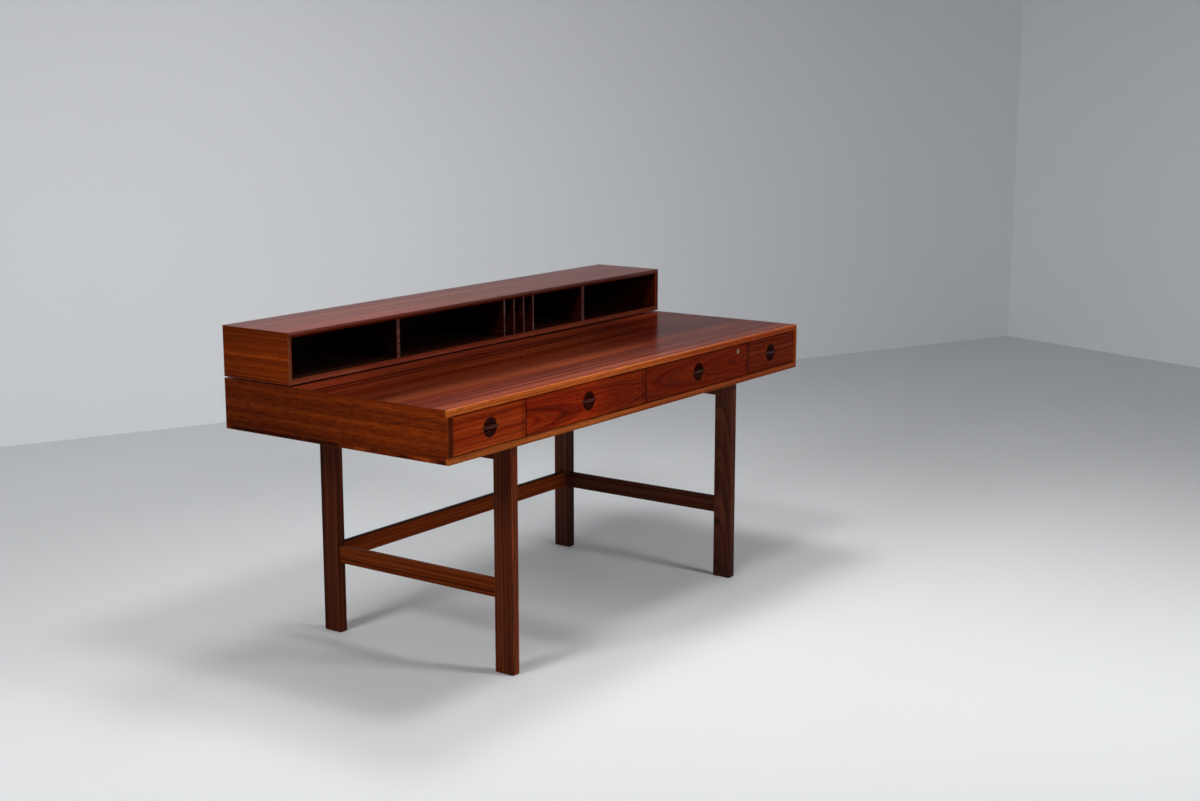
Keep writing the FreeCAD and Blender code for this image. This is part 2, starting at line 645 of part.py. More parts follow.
bolt_blank = board("lock_bolt_blank", (f"{LOCK_X} - lock_bolt_width / 2", LOCK_BOLT_Y, BOLT_FOOT),
                   ("lock_bolt_width", "lock_bolt_thickness", f"{LOCK_TOP} - {BOLT_FOOT}"))
slot_margin = "(lock_crank_pin_radius + 1.5 * lock_slide_clearance)"
bolt_slot = board("lock_bolt_slot",
                  (f"{LOCK_X} + {LOCK_SWING} - {slot_margin}", f"{LOCK_BOLT_Y} - lock_bolt_thickness",
                   f"{LOCK_Z} - {LOCK_SWING} - {slot_margin}"),
                  (f"lock_crank_radius - {LOCK_SWING} + 2 * {slot_margin}", "3 * lock_bolt_thickness",
                   f"2 * {slot_margin}"))
node(cut("lock_bolt", bolt_blank, [bolt_slot]), "lock_bolt")
lock_mortise = board("lock_mortise",
                     (f"{LOCK_X} - lock_bolt_width / 2 - lock_mortise_margin",
                      f"{LOCK_BOLT_Y} - lock_mortise_margin", f"{OPENING_FLOOR} + {OPENING_HEIGHT}"),
                     ("lock_bolt_width + 2 * lock_mortise_margin",
                      "lock_bolt_thickness + 2 * lock_mortise_margin", "lock_mortise_depth"))

all_runners = []
for number in range(1, 5):
    first = 2 * (number - 1)
    all_runners += drawer(number, walls[first], walls[first + 1], edges[first], edges[first + 1],
                          lock_barrel if number == 3 else None)
node(group("drawer_runners", all_runners), "drawer_runners")


# Case: mitred panels with solid lippings along the front edges of the top and the bottom
def mitred_panel(name, length, thickness, depth, upside_down=False, upright=False):
    """A panel whose ends are mitred towards its inner face, drawn in the XZ plane."""
    if upright:
        corners = [("0", "0"), (thickness, thickness), (thickness, f"{length} - {thickness}"),
                   ("0", length)]
        if upside_down:
            corners = [(f"-({x})", z) for x, z in corners]
    else:
        inner = thickness if upside_down else f"-({thickness})"
        corners = [(f"-({length}) / 2", "0"), (f"({length}) / 2", "0"),
                   (f"({length}) / 2 - {thickness}", inner), (f"-({length}) / 2 + {thickness}", inner)]
    return pad(name, "XZ_Plane", corners, depth)


top_lipping = node(board("case_top_lipping", (LEFT, FRONT, f"{CASE_CEILING} - case_panel"),
                         ("desk_width", "lipping_depth", "case_panel")), "case_top_lipping")
bottom_lipping = node(board("case_bottom_lipping", (LEFT, FRONT, CASE_FLOOR),
                            ("desk_width", "lipping_depth", "case_panel")), "case_bottom_lipping")

case_top_blank = mitred_panel("case_top_blank", "desk_width", "case_panel", "desk_depth - lipping_depth")
place(case_top_blank, "0", REAR, CASE_CEILING)
node(cut("case_top", case_top_blank, [lock_mortise] + hinge_rooms + case_leaf_screws), "case_top")

case_bottom_blank = mitred_panel("case_bottom_blank", "desk_width", "case_panel",
                                 "desk_depth - lipping_depth", upside_down=True)
place(case_bottom_blank, "0", REAR, CASE_FLOOR)
node(cut("case_bottom", case_bottom_blank, all_case_bores), "case_bottom")

for side, x, flipped in (("left", LEFT, False), ("right", RIGHT, True)):
    end_blank = mitred_panel(f"case_{side}_end_blank", "case_height", "case_panel", "desk_depth",
                             flipped, True)
    place(end_blank, x, REAR, CASE_FLOOR)
    node(cut(f"case_{side}_end", end_blank, [top_lipping, bottom_lipping]), f"case_{side}_end")

node(board("case_back", (CASE_WALL_LEFT, f"{REAR} - case_back_thickness", OPENING_FLOOR),
           ("desk_width - 2 * case_panel", "case_back_thickness", OPENING_HEIGHT)), "case_back")

partition_start = f"({DRAWER_SEAM} + partition_gap)"
for side, middle in PARTITIONS:
    node(board(f"partition_{side}", (f"{middle} - partition_thickness / 2", partition_start, OPENING_FLOOR),
               ("partition_thickness", f"{REAR} - case_back_thickness - {partition_start}",
                OPENING_HEIGHT)), f"partition_{side}")


# Hutch: mitred panels, a back, two bay dividers and a set of letter dividers
HUTCH_INNER_FLOOR = f"({HUTCH_FLOOR} + hutch_panel)"
HUTCH_INNER_HEIGHT = "(hutch_height - 2 * hutch_panel)"
HUTCH_BAY_DEPTH = "(hutch_depth - hutch_back_thickness - divider_setback)"
DIVIDER_FRONT = f"({HUTCH_FRONT} + divider_setback)"

flare = doc.addObject("Part::Wedge", "hutch_mouth")
for prop, text in (
    ("Xmin", "-desk_width / 2 + hutch_panel - hutch_bevel_width"),
    ("Xmax", "desk_width / 2 - hutch_panel + hutch_bevel_width"),
    ("X2min", "-desk_width / 2 + hutch_panel"),
    ("X2max", "desk_width / 2 - hutch_panel"),
    ("Ymin", "0"),
    ("Ymax", "hutch_bevel_depth"),
    ("Zmin", "hutch_panel - hutch_bevel_width"),
    ("Zmax", "hutch_height - hutch_panel + hutch_bevel_width"),
    ("Z2min", "hutch_panel"),
    ("Z2max", "hutch_height - hutch_panel"),
):
    bind(flare, prop, text)
place(flare, "0", HUTCH_FRONT, HUTCH_FLOOR)

letter_dividers = []
for index in range(LETTER_DIVIDERS):
    letter_dividers.append(board(
        f"letter_divider_{index + 1}",
        (f"letter_divider_start + {index} * letter_divider_pitch - letter_divider_thickness / 2",
         DIVIDER_FRONT, f"{HUTCH_INNER_FLOOR} - divider_tongue"),
        ("letter_divider_thickness", HUTCH_BAY_DEPTH, f"{HUTCH_INNER_HEIGHT} + 2 * divider_tongue"),
    ))
node(group("letter_dividers", letter_dividers), "letter_dividers")

bay_dividers = []
for side, sign in (("left", "-1"), ("right", "1")):
    bay_dividers.append(node(board(
        f"bay_divider_{side}",
        (f"{sign} * (desk_width / 2 - divider_from_end) - divider_thickness / 2", DIVIDER_FRONT,
         f"{HUTCH_INNER_FLOOR} - divider_tongue"),
        ("divider_thickness", HUTCH_BAY_DEPTH, f"{HUTCH_INNER_HEIGHT} + 2 * divider_tongue"),
    ), f"bay_divider_{side}"))

hutch_top_blank = mitred_panel("hutch_top_blank", "desk_width", "hutch_panel", "hutch_depth")
place(hutch_top_blank, "0", REAR, f"{HUTCH_FLOOR} + hutch_height")
node(cut("hutch_top", hutch_top_blank, [flare] + letter_dividers + bay_dividers), "hutch_top")

hutch_bottom_blank = mitred_panel("hutch_bottom_blank", "desk_width", "hutch_panel", "hutch_depth",
                                  upside_down=True)
place(hutch_bottom_blank, "0", REAR, HUTCH_FLOOR)
node(cut("hutch_bottom", hutch_bottom_blank,
         [flare] + letter_dividers + bay_dividers + hinge_rooms + hutch_leaf_screws), "hutch_bottom")

for side, x, flipped in (("left", LEFT, False), ("right", RIGHT, True)):
    end_blank = mitred_panel(f"hutch_{side}_end_blank", "hutch_height", "hutch_panel", "hutch_depth",
                             flipped, True)
    place(end_blank, x, REAR, HUTCH_FLOOR)
    node(cut(f"hutch_{side}_end", end_blank, [flare]), f"hutch_{side}_end")

node(board("hutch_back",
           ("-desk_width / 2 + hutch_panel", f"{REAR} - hutch_back_thickness", HUTCH_INNER_FLOOR),
           ("desk_width - 2 * hutch_panel", "hutch_back_thickness", HUTCH_INNER_HEIGHT)), "hutch_back")

pads = []
for index, sign in enumerate(("-1", "0", "1")):
    pads.append(rod(f"hutch_pad_{index}",
                    (f"{sign} * (desk_width / 2 - pad_from_end)", f"{HUTCH_FRONT} + pad_inset",
                     f"{CASE_CEILING} + pad_clearance"),
                    "Z", "pad_radius", "hutch_gap - pad_clearance"))
node(group("hutch_pads", pads), "hutch_pads")

doc.recompute()

for item in doc.Objects:
    if {"Invalid", "Error"} & set(item.State):
        raise RuntimeError(f"{item.Label}: {item.getStatusString()}")

os.makedirs("parts", exist_ok=True)
for item in NODES:
    shape = item.Shape
    if shape.isNull() or not shape.isValid() or not shape.Solids:
        raise RuntimeError(f"{item.Label} has no sound solid")
    shape.exportStep(f"parts/{item.Label}.step")
    print(f"{item.Label}: {len(shape.Solids)} solids, {shape.Volume / 1000:.1f} cm3")
print(f"{len(NODES)} pieces")
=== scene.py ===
"""Studio scene of a flip-top partners desk in lacquered rosewood.

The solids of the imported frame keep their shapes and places. This script eases their edges, gives each piece
the cut of wood or the metal that it is made of, and sets the desk in a plain pale room.
"""
import json
import logging
import math
from abc import ABC, abstractmethod
from dataclasses import dataclass, replace
from enum import Enum
from typing import Sequence, Union

import bpy
from mathutils import Matrix, Vector

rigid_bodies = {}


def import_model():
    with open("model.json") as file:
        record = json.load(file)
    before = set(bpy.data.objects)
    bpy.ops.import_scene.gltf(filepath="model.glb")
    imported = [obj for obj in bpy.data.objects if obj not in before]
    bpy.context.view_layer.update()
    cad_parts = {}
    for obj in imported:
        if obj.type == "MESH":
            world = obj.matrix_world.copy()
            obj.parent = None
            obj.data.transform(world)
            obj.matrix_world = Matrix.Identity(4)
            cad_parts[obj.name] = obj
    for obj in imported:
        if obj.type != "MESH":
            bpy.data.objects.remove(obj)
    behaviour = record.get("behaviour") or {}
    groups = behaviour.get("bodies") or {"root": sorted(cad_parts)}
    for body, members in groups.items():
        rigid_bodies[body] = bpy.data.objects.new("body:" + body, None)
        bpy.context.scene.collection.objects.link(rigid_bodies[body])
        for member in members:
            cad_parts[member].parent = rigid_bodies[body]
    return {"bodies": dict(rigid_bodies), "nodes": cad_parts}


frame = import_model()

LOG = logging.getLogger("desk")
PHOTO_WIDTH = 1200

Colour = tuple[float, float, float]
Point = tuple[float, float, float]
Span = tuple[float, float]
Socket = bpy.types.NodeSocket
Value = Union[Socket, float]

FAR = 9.0
ANYWHERE: Span = (-FAR, FAR)
DRAWER_FACE = -0.366
CASE_FACE = -0.3667
FRONT_LEG_FACE = -0.3266
REAR_LEG_FACE = 0.2634
STRETCHER_FACE = 0.2829
STRETCHER_TOP = 0.2402
HUTCH_FACE = 0.1374
HUTCH_TOP = 0.8625
DIVIDER_FACE = 0.1404


class Axis(Enum):
    """An axis of the desk: its width, its depth or its height."""

    WIDTH = 0
    DEPTH = 1
    HEIGHT = 2


class Blend(Enum):
    """How one colour is laid over another."""

    MIX = "MIX"
    MULTIPLY = "MULTIPLY"


@dataclass
class NodeSheet:
    """Adds and joins the nodes of one material.

    Attributes:
        tree: The material's node tree.
    """

    tree: bpy.types.NodeTree

    def add(self, kind: str, **settings: object) -> bpy.types.Node:
        """Adds a node.

        Args:
            kind: The node's type in Blender.
            settings: Properties of the node to set.

        Returns:
            The new node.
        """
        made = self.tree.nodes.new(kind)
        for name, setting in settings.items():
            setattr(made, name, setting)
        return made

    def feed(self, socket: Socket, value: object) -> None:
        """Joins a socket to another one, or sets it to a plain value."""
        if isinstance(value, bpy.types.NodeSocket):
            self.tree.links.new(value, socket)
        else:
            socket.default_value = value

    def maths(self, operation: str, *values: Value) -> Socket:
        """Works out one number from others.

        Args:
            operation: The name of the operation in Blender.
            values: Its one, two or three operands.

        Returns:
            The socket with the result.
        """
        made = self.add("ShaderNodeMath", operation=operation)
        for socket, value in zip(made.inputs, values):
            self.feed(socket, value)
        return made.outputs[0]

    def vector(self, x: Value, y: Value, z: Value) -> Socket:
        """Joins three numbers into a vector."""
        made = self.add("ShaderNodeCombineXYZ")
        for socket, value in zip(made.inputs, (x, y, z)):
            self.feed(socket, value)
        return made.outputs[0]

    def place(self) -> tuple[Socket, Socket, Socket]:
        """The three numbers of the place on the piece, in metres."""
        made = self.add("ShaderNodeSeparateXYZ")
        self.feed(made.inputs[0], self.add("ShaderNodeTexCoord").outputs["Object"])
        return made.outputs[0], made.outputs[1], made.outputs[2]

    def scaled(self, rate: float) -> Socket:
        """The place on the piece as a vector, with a rate of features to a metre."""
        return self.vector(*(self.maths("MULTIPLY", part, rate) for part in self.place()))

    def noise(
        self, place: Socket, detail: float = 2.0, roughness: float = 0.5, line: bool = False
    ) -> Socket:
        """Smooth noise with one feature to a unit.

        Args:
            place: The vector, or the one number, to read the noise at.
            detail: How many finer layers are added.
            roughness: How strong the finer layers are.
            line: Whether the place is one number.

        Returns:
            The socket with the noise, from 0 to 1.
        """
        made = self.add("ShaderNodeTexNoise", noise_dimensions="1D" if line else "3D")
        self.feed(made.inputs["W" if line else "Vector"], place)
        for name, setting in (("Scale", 1.0), ("Detail", detail), ("Roughness", roughness)):
            self.feed(made.inputs[name], setting)
        return made.outputs[0]

    def span(self, value: Socket, start: float, end: float, low: float = 0.0, high: float = 1.0) -> Socket:
        """Eases a number from low at start to high at end.

        Args:
            value: The number to read.
            start: Where the result leaves low.
            end: Where the result reaches high.
            low: The result before start.
            high: The result after end.

        Returns:
            The socket with the eased number.
        """
        made = self.add("ShaderNodeMapRange", interpolation_type="SMOOTHSTEP")
        for name, setting in (("From Min", start), ("From Max", end), ("To Min", low), ("To Max", high)):
            self.feed(made.inputs[name], setting)
        self.feed(made.inputs["Value"], value)
        return made.outputs[0]

    def ramp(self, value: Socket, stops: Sequence[tuple[float, Colour]]) -> Socket:
        """Turns a number into a colour.

        Args:
            value: A number from 0 to 1.
            stops: Places along it, each with its colour.

        Returns:
            The socket with the colour.
        """
        made = self.add("ShaderNodeValToRGB")
        marks = made.color_ramp.elements
        while len(marks) < len(stops):
            marks.new(1.0)
        for mark, (place, colour) in zip(marks, stops):
            mark.position = place
            mark.color = (*colour, 1.0)
        self.feed(made.inputs[0], value)
        return made.outputs[0]

    def blend(self, mode: Blend, share: Value, under: object, over: object) -> Socket:
        """Lays one colour over another.

        Args:
            mode: How the upper colour is laid on.
            share: How much of it shows.
            under: The lower colour.
            over: The upper colour.

        Returns:
            The socket with the blended colour.
        """
        made = self.add("ShaderNodeMix", data_type="RGBA", blend_type=mode.value)
        self.feed(made.inputs[0], share)
        self.feed(made.inputs[6], under if isinstance(under, bpy.types.NodeSocket) else (*under, 1.0))
        self.feed(made.inputs[7], over if isinstance(over, bpy.types.NodeSocket) else (*over, 1.0))
        return made.outputs[2]

    def bump(self, height: Socket, strength: float, distance: float) -> Socket:
        """Turns a height into a surface normal.

        Args:
            height: The socket with the height.
            strength: How much of the bump shows.
            distance: The height of a full step, in metres.

        Returns:
            The socket with the normal.
        """
        made = self.add("ShaderNodeBump")
        self.feed(made.inputs["Strength"], strength)
        self.feed(made.inputs["Distance"], distance)
        self.feed(made.inputs["Height"], height)
        return made.outputs[0]

    def sight(self) -> Socket:
        """1 along lines of sight, straight, mirrored or through glass, and 0 for other light."""
        path = self.add("ShaderNodeLightPath")
        mirrored = self.maths("MAXIMUM", path.outputs["Is Glossy Ray"], path.outputs["Is Transmission Ray"])
        return self.maths("MAXIMUM", path.outputs["Is Camera Ray"], mirrored)

    def mix(self, share: Socket, first: bpy.types.Node, second: bpy.types.Node) -> bpy.types.Node:
        """Mixes two shaders.

        Args:
            share: How much of the second shader shows.
            first: The node of the first shader.
            second: The node of the second shader.

        Returns:
            The node of the mixed shader.
        """
        made = self.add("ShaderNodeMixShader")
        self.feed(made.inputs[0], share)
        self.feed(made.inputs[1], first.outputs[0])
        self.feed(made.inputs[2], second.outputs[0])
        return made


class Finish(ABC):
    """A surface that pieces of the desk share."""

    name: str

    @abstractmethod
    def paint(self, sheet: NodeSheet, shader: bpy.types.Node) -> None:
        """Feeds the shader with this finish."""

    def material(self) -> bpy.types.Material:
        """Makes the material on first use, and finds it again later."""
        found = bpy.data.materials.get(self.name)
        if found is not None:
            return found
        made = bpy.data.materials.new(self.name)
        made.use_nodes = True
        shader = made.node_tree.nodes["Principled BSDF"]
        self.paint(NodeSheet(made.node_tree), shader)
        return made


@dataclass(frozen=True)
class Palette:
    """The colours of one cut of wood, from its darkest veins to its palest stripes."""

    vein: Colour
    dark: Colour
    middle: Colour
    light: Colour

    def toned(self, share: float) -> "Palette":
        """The same colours, each multiplied by a share."""
        shades = (self.vein, self.dark, self.middle, self.light)
        return Palette(*(tuple(share * part for part in shade) for shade in shades))


@dataclass(frozen=True)
class Zone:
    """A box in which a board is tinted.

    Attributes:
        tint: What the wood's colour is multiplied by inside it.
        blur: How far the tint fades across its faces, in metres.
        width: Where it starts and ends along the desk's width, in metres.
        depth: Where it starts and ends from the front to the rear, in metres.
        height: Where it starts and ends above the floor, in metres.
    """

    tint: Colour
    blur: float = 0.0003
    width: Span = ANYWHERE
    depth: Span = ANYWHERE
    height: Span = ANYWHERE

    def lay(self, sheet: NodeSheet, place: Sequence[Socket], colour: Socket) -> Socket:
        """Tints a colour inside the box.

        Args:
            sheet: The sheet to add nodes to.
            place: The three numbers of the place.
            colour: The colour to tint.

        Returns:
            The socket with the tinted colour.
        """
        inside: Value = 1.0
        for number, (start, end) in zip(place, (self.width, self.depth, self.height)):
            if start > -FAR:
                past = sheet.span(number, start - self.blur, start + self.blur)
                inside = sheet.maths("MULTIPLY", past, inside)
            if end < FAR:
                short = sheet.span(number, end - self.blur, end + self.blur, 1.0, 0.0)
                inside = sheet.maths("MULTIPLY", short, inside)
        return sheet.blend(Blend.MULTIPLY, inside, colour, self.tint)


@dataclass(frozen=True)
class Wood(Finish):
    """Lacquered or waxed wood, grown in rings round a heart line and cut into a board.

    Attributes:
        name: The material's name.
        palette: The colours of the wood.
        grain: The axis that the grain runs along.
        face: The axis that the board's show face looks along.
        seed: A number that sets this board apart from its neighbours.
        heart: The heart line's distance from the origin across the show face and behind it, in metres.
        tilt: How much the heart line leans out of the board for each metre of its length.
        wander: How far the rings wander from their circles along the board, in metres.
        ripple: How far the rings ripple within a hand's breadth, in metres.
        band_rate: Broad bands of colour to a metre.
        ring_rate: Rings to a metre.
        streak_rate: Streaks to a metre across the grain.
        contrast: How far the stripes part from the middle colour.
        vein_share: How strongly the dark veins show.
        tones: Places across the show face, in metres, each with how bright the wood is there.
        zones: Boxes in which the wood is tinted.
        burr: The height of a lively dark figure and the place across the face where it starts, in metres.
        flecks: How strongly short dark flecks show.
        roughness: The roughness of the lacquer.
        dulling: How much rougher it is over open grain.
        pores: How deep the open pores show.
        specular: The strength of its reflections.
    """

    STREAK_RATE_ALONG = 1.9
    FIBRE_RATES = (22.0, 700.0)
    DRIFT_RATES = (1.3, 5.0)
    WAVE_RATES = (9.0, 24.0)
    FLECK_RATES = (38.0, 240.0)
    BURR_RATES = (13.0, 40.0)
    LINES_TO_RING = 2.6
    WEIGHTS = (0.24, 0.25, 0.25, 0.26)
    TONE_REACH = 0.2
    VEIN_LINES = (0.54, 0.7)
    VEIN_BANDS = (0.36, 0.6)
    OPEN_GRAIN = (0.38, 0.62)
    FIBRE_DULLING = 0.06
    PORE_DEPTH = 0.0002
    PORE_SPAN = (0.52, 0.72)
    PORE_SHARE = 0.45
    PORE_TINT = (0.35, 0.3, 0.3)
    FLECK_SPAN = (0.42, 0.66)
    FLECK_TINT = (0.42, 0.4, 0.45)
    BURR_DARK = (0.5, 0.58)
    BURR_PALE = (0.42, 0.32)
    BURR_SHARE = 0.85
    BURR_FADE = 0.7
    SEED_SHIFT = 3.7
    SEED_RADIUS = 0.37

    name: str
    palette: Palette
    grain: Axis
    face: Axis
    seed: float
    heart: Span = (3.0, 0.4)
    tilt: float = 0.0
    wander: float = 0.012
    ripple: float = 0.004
    band_rate: float = 16.0
    ring_rate: float = 120.0
    streak_rate: float = 85.0
    contrast: float = 1.2
    vein_share: float = 0.6
    tones: tuple[Span, ...] = ()
    zones: tuple[Zone, ...] = ()
    burr: Span = (0.0, 0.0)
    flecks: float = 0.0
    roughness: float = 0.3
    dulling: float = 0.1
    pores: float = 0.06
    specular: float = 0.02

    def paint(self, sheet: NodeSheet, shader: bpy.types.Node) -> None:
        """Feeds the shader with the wood's colour, gloss and pores."""
        place = sheet.place()
        board = self._in_board(place)
        stretch = (self.STREAK_RATE_ALONG, self.streak_rate)
        streaks = sheet.noise(self._stretched(sheet, board, stretch), 5.0, 0.64)
        fibres = sheet.noise(self._stretched(sheet, board, self.FIBRE_RATES), 2.0, 0.6)
        radius = self._ring_radius(sheet, board)
        bands = sheet.noise(sheet.maths("MULTIPLY", radius, self.band_rate), 1.5, line=True)
        rings = sheet.noise(sheet.maths("MULTIPLY", radius, self.ring_rate), 2.0, 0.6, line=True)
        line_rate = self.LINES_TO_RING * self.ring_rate
        lines = sheet.noise(sheet.maths("MULTIPLY", radius, line_rate), 1.0, line=True)

        tone: Value = 0.0
        for part, weight in zip((bands, rings, lines, streaks), self.WEIGHTS):
            tone = sheet.maths("MULTIPLY_ADD", part, weight, tone)
        reach = self.TONE_REACH / self.contrast
        tone = sheet.span(tone, 0.5 - reach, 0.5 + reach)
        colour = sheet.ramp(tone, (
            (0.0, self.palette.dark),
            (0.5, self.palette.middle),
            (1.0, self.palette.light),
        ))
        in_band = sheet.span(bands, *self.VEIN_BANDS)
        veins = sheet.maths("MULTIPLY", sheet.span(lines, *self.VEIN_LINES), in_band)
        share = sheet.maths("MULTIPLY", veins, self.vein_share)
        colour = sheet.blend(Blend.MIX, share, colour, self.palette.vein)
        colour = self._shaded(sheet, colour, board, fibres)
        for zone in self.zones:
            colour = zone.lay(sheet, place, colour)

        sheet.feed(shader.inputs["Base Color"], colour)
        figure = sheet.maths("MULTIPLY", sheet.maths("ADD", streaks, rings), 0.5)
        dull = sheet.span(figure, *self.OPEN_GRAIN, self.roughness + self.dulling, self.roughness)
        gloss = sheet.maths("MULTIPLY_ADD", fibres, self.FIBRE_DULLING, dull)
        sheet.feed(shader.inputs["Roughness"], gloss)
        sheet.feed(shader.inputs["Normal"], sheet.bump(fibres, self.pores, self.PORE_DEPTH))
        shader.inputs["Specular IOR Level"].default_value = self.specular

    def _in_board(self, place: Sequence[Socket]) -> tuple[Socket, Socket, Socket]:
        """The numbers of a place along the grain, across the show face and behind it."""
        across = 3 - self.grain.value - self.face.value
        return place[self.grain.value], place[across], place[self.face.value]

    def _stretched(self, sheet: NodeSheet, board: Sequence[Socket], rates: Span) -> Socket:
        """A place in the board with its grain drawn out.

        Args:
            sheet: The sheet to add nodes to.
            board: The place along the grain, across the show face and behind it.
            rates: Features to a metre along the grain and across it.

        Returns:
            The socket with the stretched place.
        """
        slow, fast = rates
        shift = self.SEED_SHIFT * self.seed
        return sheet.vector(
            sheet.maths("MULTIPLY_ADD", board[0], slow, shift),
            sheet.maths("MULTIPLY_ADD", board[1], fast, 1.3 * shift),
            sheet.maths("MULTIPLY_ADD", board[2], fast, 0.7 * shift),
        )

    def _ring_radius(self, sheet: NodeSheet, board: Sequence[Socket]) -> Socket:
        """The distance from the heart line, with the tree's own wandering in it.

        Args:
            sheet: The sheet to add nodes to.
            board: The place along the grain, across the show face and behind it.

        Returns:
            The socket with the distance in metres.
        """
        along, across, behind = board
        drift = sheet.noise(self._stretched(sheet, board, self.DRIFT_RATES))
        waves = sheet.noise(self._stretched(sheet, board, self.WAVE_RATES))
        bent = sheet.maths("MULTIPLY_ADD", drift, self.wander, across)
        bent = sheet.maths("MULTIPLY_ADD", waves, self.ripple, bent)
        side = sheet.maths("SUBTRACT", bent, self.heart[0] + 0.5 * (self.wander + self.ripple))
        deep = sheet.maths("ADD", sheet.maths("MULTIPLY_ADD", along, self.tilt, behind), self.heart[1])
        square = sheet.maths("MULTIPLY_ADD", side, side, sheet.maths("MULTIPLY", deep, deep))
        return sheet.maths("ADD", sheet.maths("SQRT", square), self.SEED_RADIUS * self.seed)

    def _shaded(self, sheet: NodeSheet, colour: Socket, board: Sequence[Socket], fibres: Socket) -> Socket:
        """The wood's colour with its pores, its broad tones, its flecks and its burr.

        Args:
            sheet: The sheet to add nodes to.
            colour: The colour of the striped wood.
            board: The place along the grain, across the show face and behind it.
            fibres: Fine noise drawn out along the grain.

        Returns:
            The socket with the shaded colour.
        """
        across = board[1]
        pores = sheet.span(fibres, *self.PORE_SPAN, 0.0, self.PORE_SHARE)
        colour = sheet.blend(Blend.MULTIPLY, pores, colour, self.PORE_TINT)
        if self.tones:
            first = self.tones[0][0]
            width = self.tones[-1][0] - first
            share = sheet.maths("DIVIDE", sheet.maths("SUBTRACT", across, first), width)
            stops = [((spot - first) / width, (bright, bright, bright)) for spot, bright in self.tones]
            colour = sheet.blend(Blend.MULTIPLY, 1.0, colour, sheet.ramp(share, stops))
        if self.flecks > 0.0:
            short = sheet.noise(self._stretched(sheet, board, self.FLECK_RATES), 3.0, 0.6)
            shade = sheet.span(short, *self.FLECK_SPAN, 0.0, self.flecks)
            colour = sheet.blend(Blend.MULTIPLY, shade, colour, self.FLECK_TINT)
        if self.burr[0] > 0.0:
            height, foot = self.burr
            blotches = sheet.noise(self._stretched(sheet, board, self.BURR_RATES), 3.0)
            near = sheet.span(across, foot + self.BURR_FADE * height, foot + height, 1.0, 0.0)
            for edges, shade in ((self.BURR_DARK, self.palette.vein), (self.BURR_PALE, self.palette.light)):
                spots = sheet.maths("MULTIPLY", near, sheet.span(blotches, *edges))
                share = sheet.maths("MULTIPLY", spots, self.BURR_SHARE)
                colour = sheet.blend(Blend.MIX, share, colour, shade)
        return colour


@dataclass(frozen=True)
class Metal(Finish):
    """Plain metal with fine wear marks.

    Attributes:
        name: The material's name.
        colour: The clean metal's colour.
        tarnish: The colour of its dull patches.
        roughness: The roughness of the clean metal.
    """

    PATCH_RATE = 160.0
    PATCH_SPAN = (0.42, 0.68)
    MARK_RATE = 2200.0
    MARK_DEPTH = 0.0001
    MARK_STRENGTH = 0.08
    DULLING = 0.25

    name: str
    colour: Colour
    tarnish: Colour
    roughness: float

    def paint(self, sheet: NodeSheet, shader: bpy.types.Node) -> None:
        """Feeds the shader with the metal's colour and gloss."""
        patches = sheet.noise(sheet.scaled(self.PATCH_RATE), 3.0)
        marks = sheet.noise(sheet.scaled(self.MARK_RATE), 2.0)
        dull = sheet.span(patches, *self.PATCH_SPAN)
        gloss = sheet.maths("MULTIPLY_ADD", dull, self.DULLING, self.roughness)
        sheet.feed(shader.inputs["Base Color"], sheet.blend(Blend.MIX, dull, self.colour, self.tarnish))
        sheet.feed(shader.inputs["Roughness"], gloss)
        sheet.feed(shader.inputs["Normal"], sheet.bump(marks, self.MARK_STRENGTH, self.MARK_DEPTH))
        shader.inputs["Metallic"].default_value = 1.0


@dataclass(frozen=True)
class Felt(Finish):
    """Dense wool felt.

    Attributes:
        name: The material's name.
        colour: The colour of the wool.
    """

    FIBRE_RATE = 1500.0
    FIBRE_DEPTH = 0.0004
    FIBRE_STRENGTH = 0.5
    SHADE = 0.5
    ROUGHNESS = 0.95
    SHEEN = 0.3

    name: str
    colour: Colour

    def paint(self, sheet: NodeSheet, shader: bpy.types.Node) -> None:
        """Feeds the shader with the felt's fibres."""
        fuzz = sheet.noise(sheet.scaled(self.FIBRE_RATE), 3.0, 0.7)
        dark = tuple(self.SHADE * part for part in self.colour)
        sheet.feed(shader.inputs["Base Color"], sheet.ramp(fuzz, ((0.3, dark), (0.7, self.colour))))
        sheet.feed(shader.inputs["Normal"], sheet.bump(fuzz, self.FIBRE_STRENGTH, self.FIBRE_DEPTH))
        shader.inputs["Roughness"].default_value = self.ROUGHNESS
        shader.inputs["Sheen Weight"].default_value = self.SHEEN


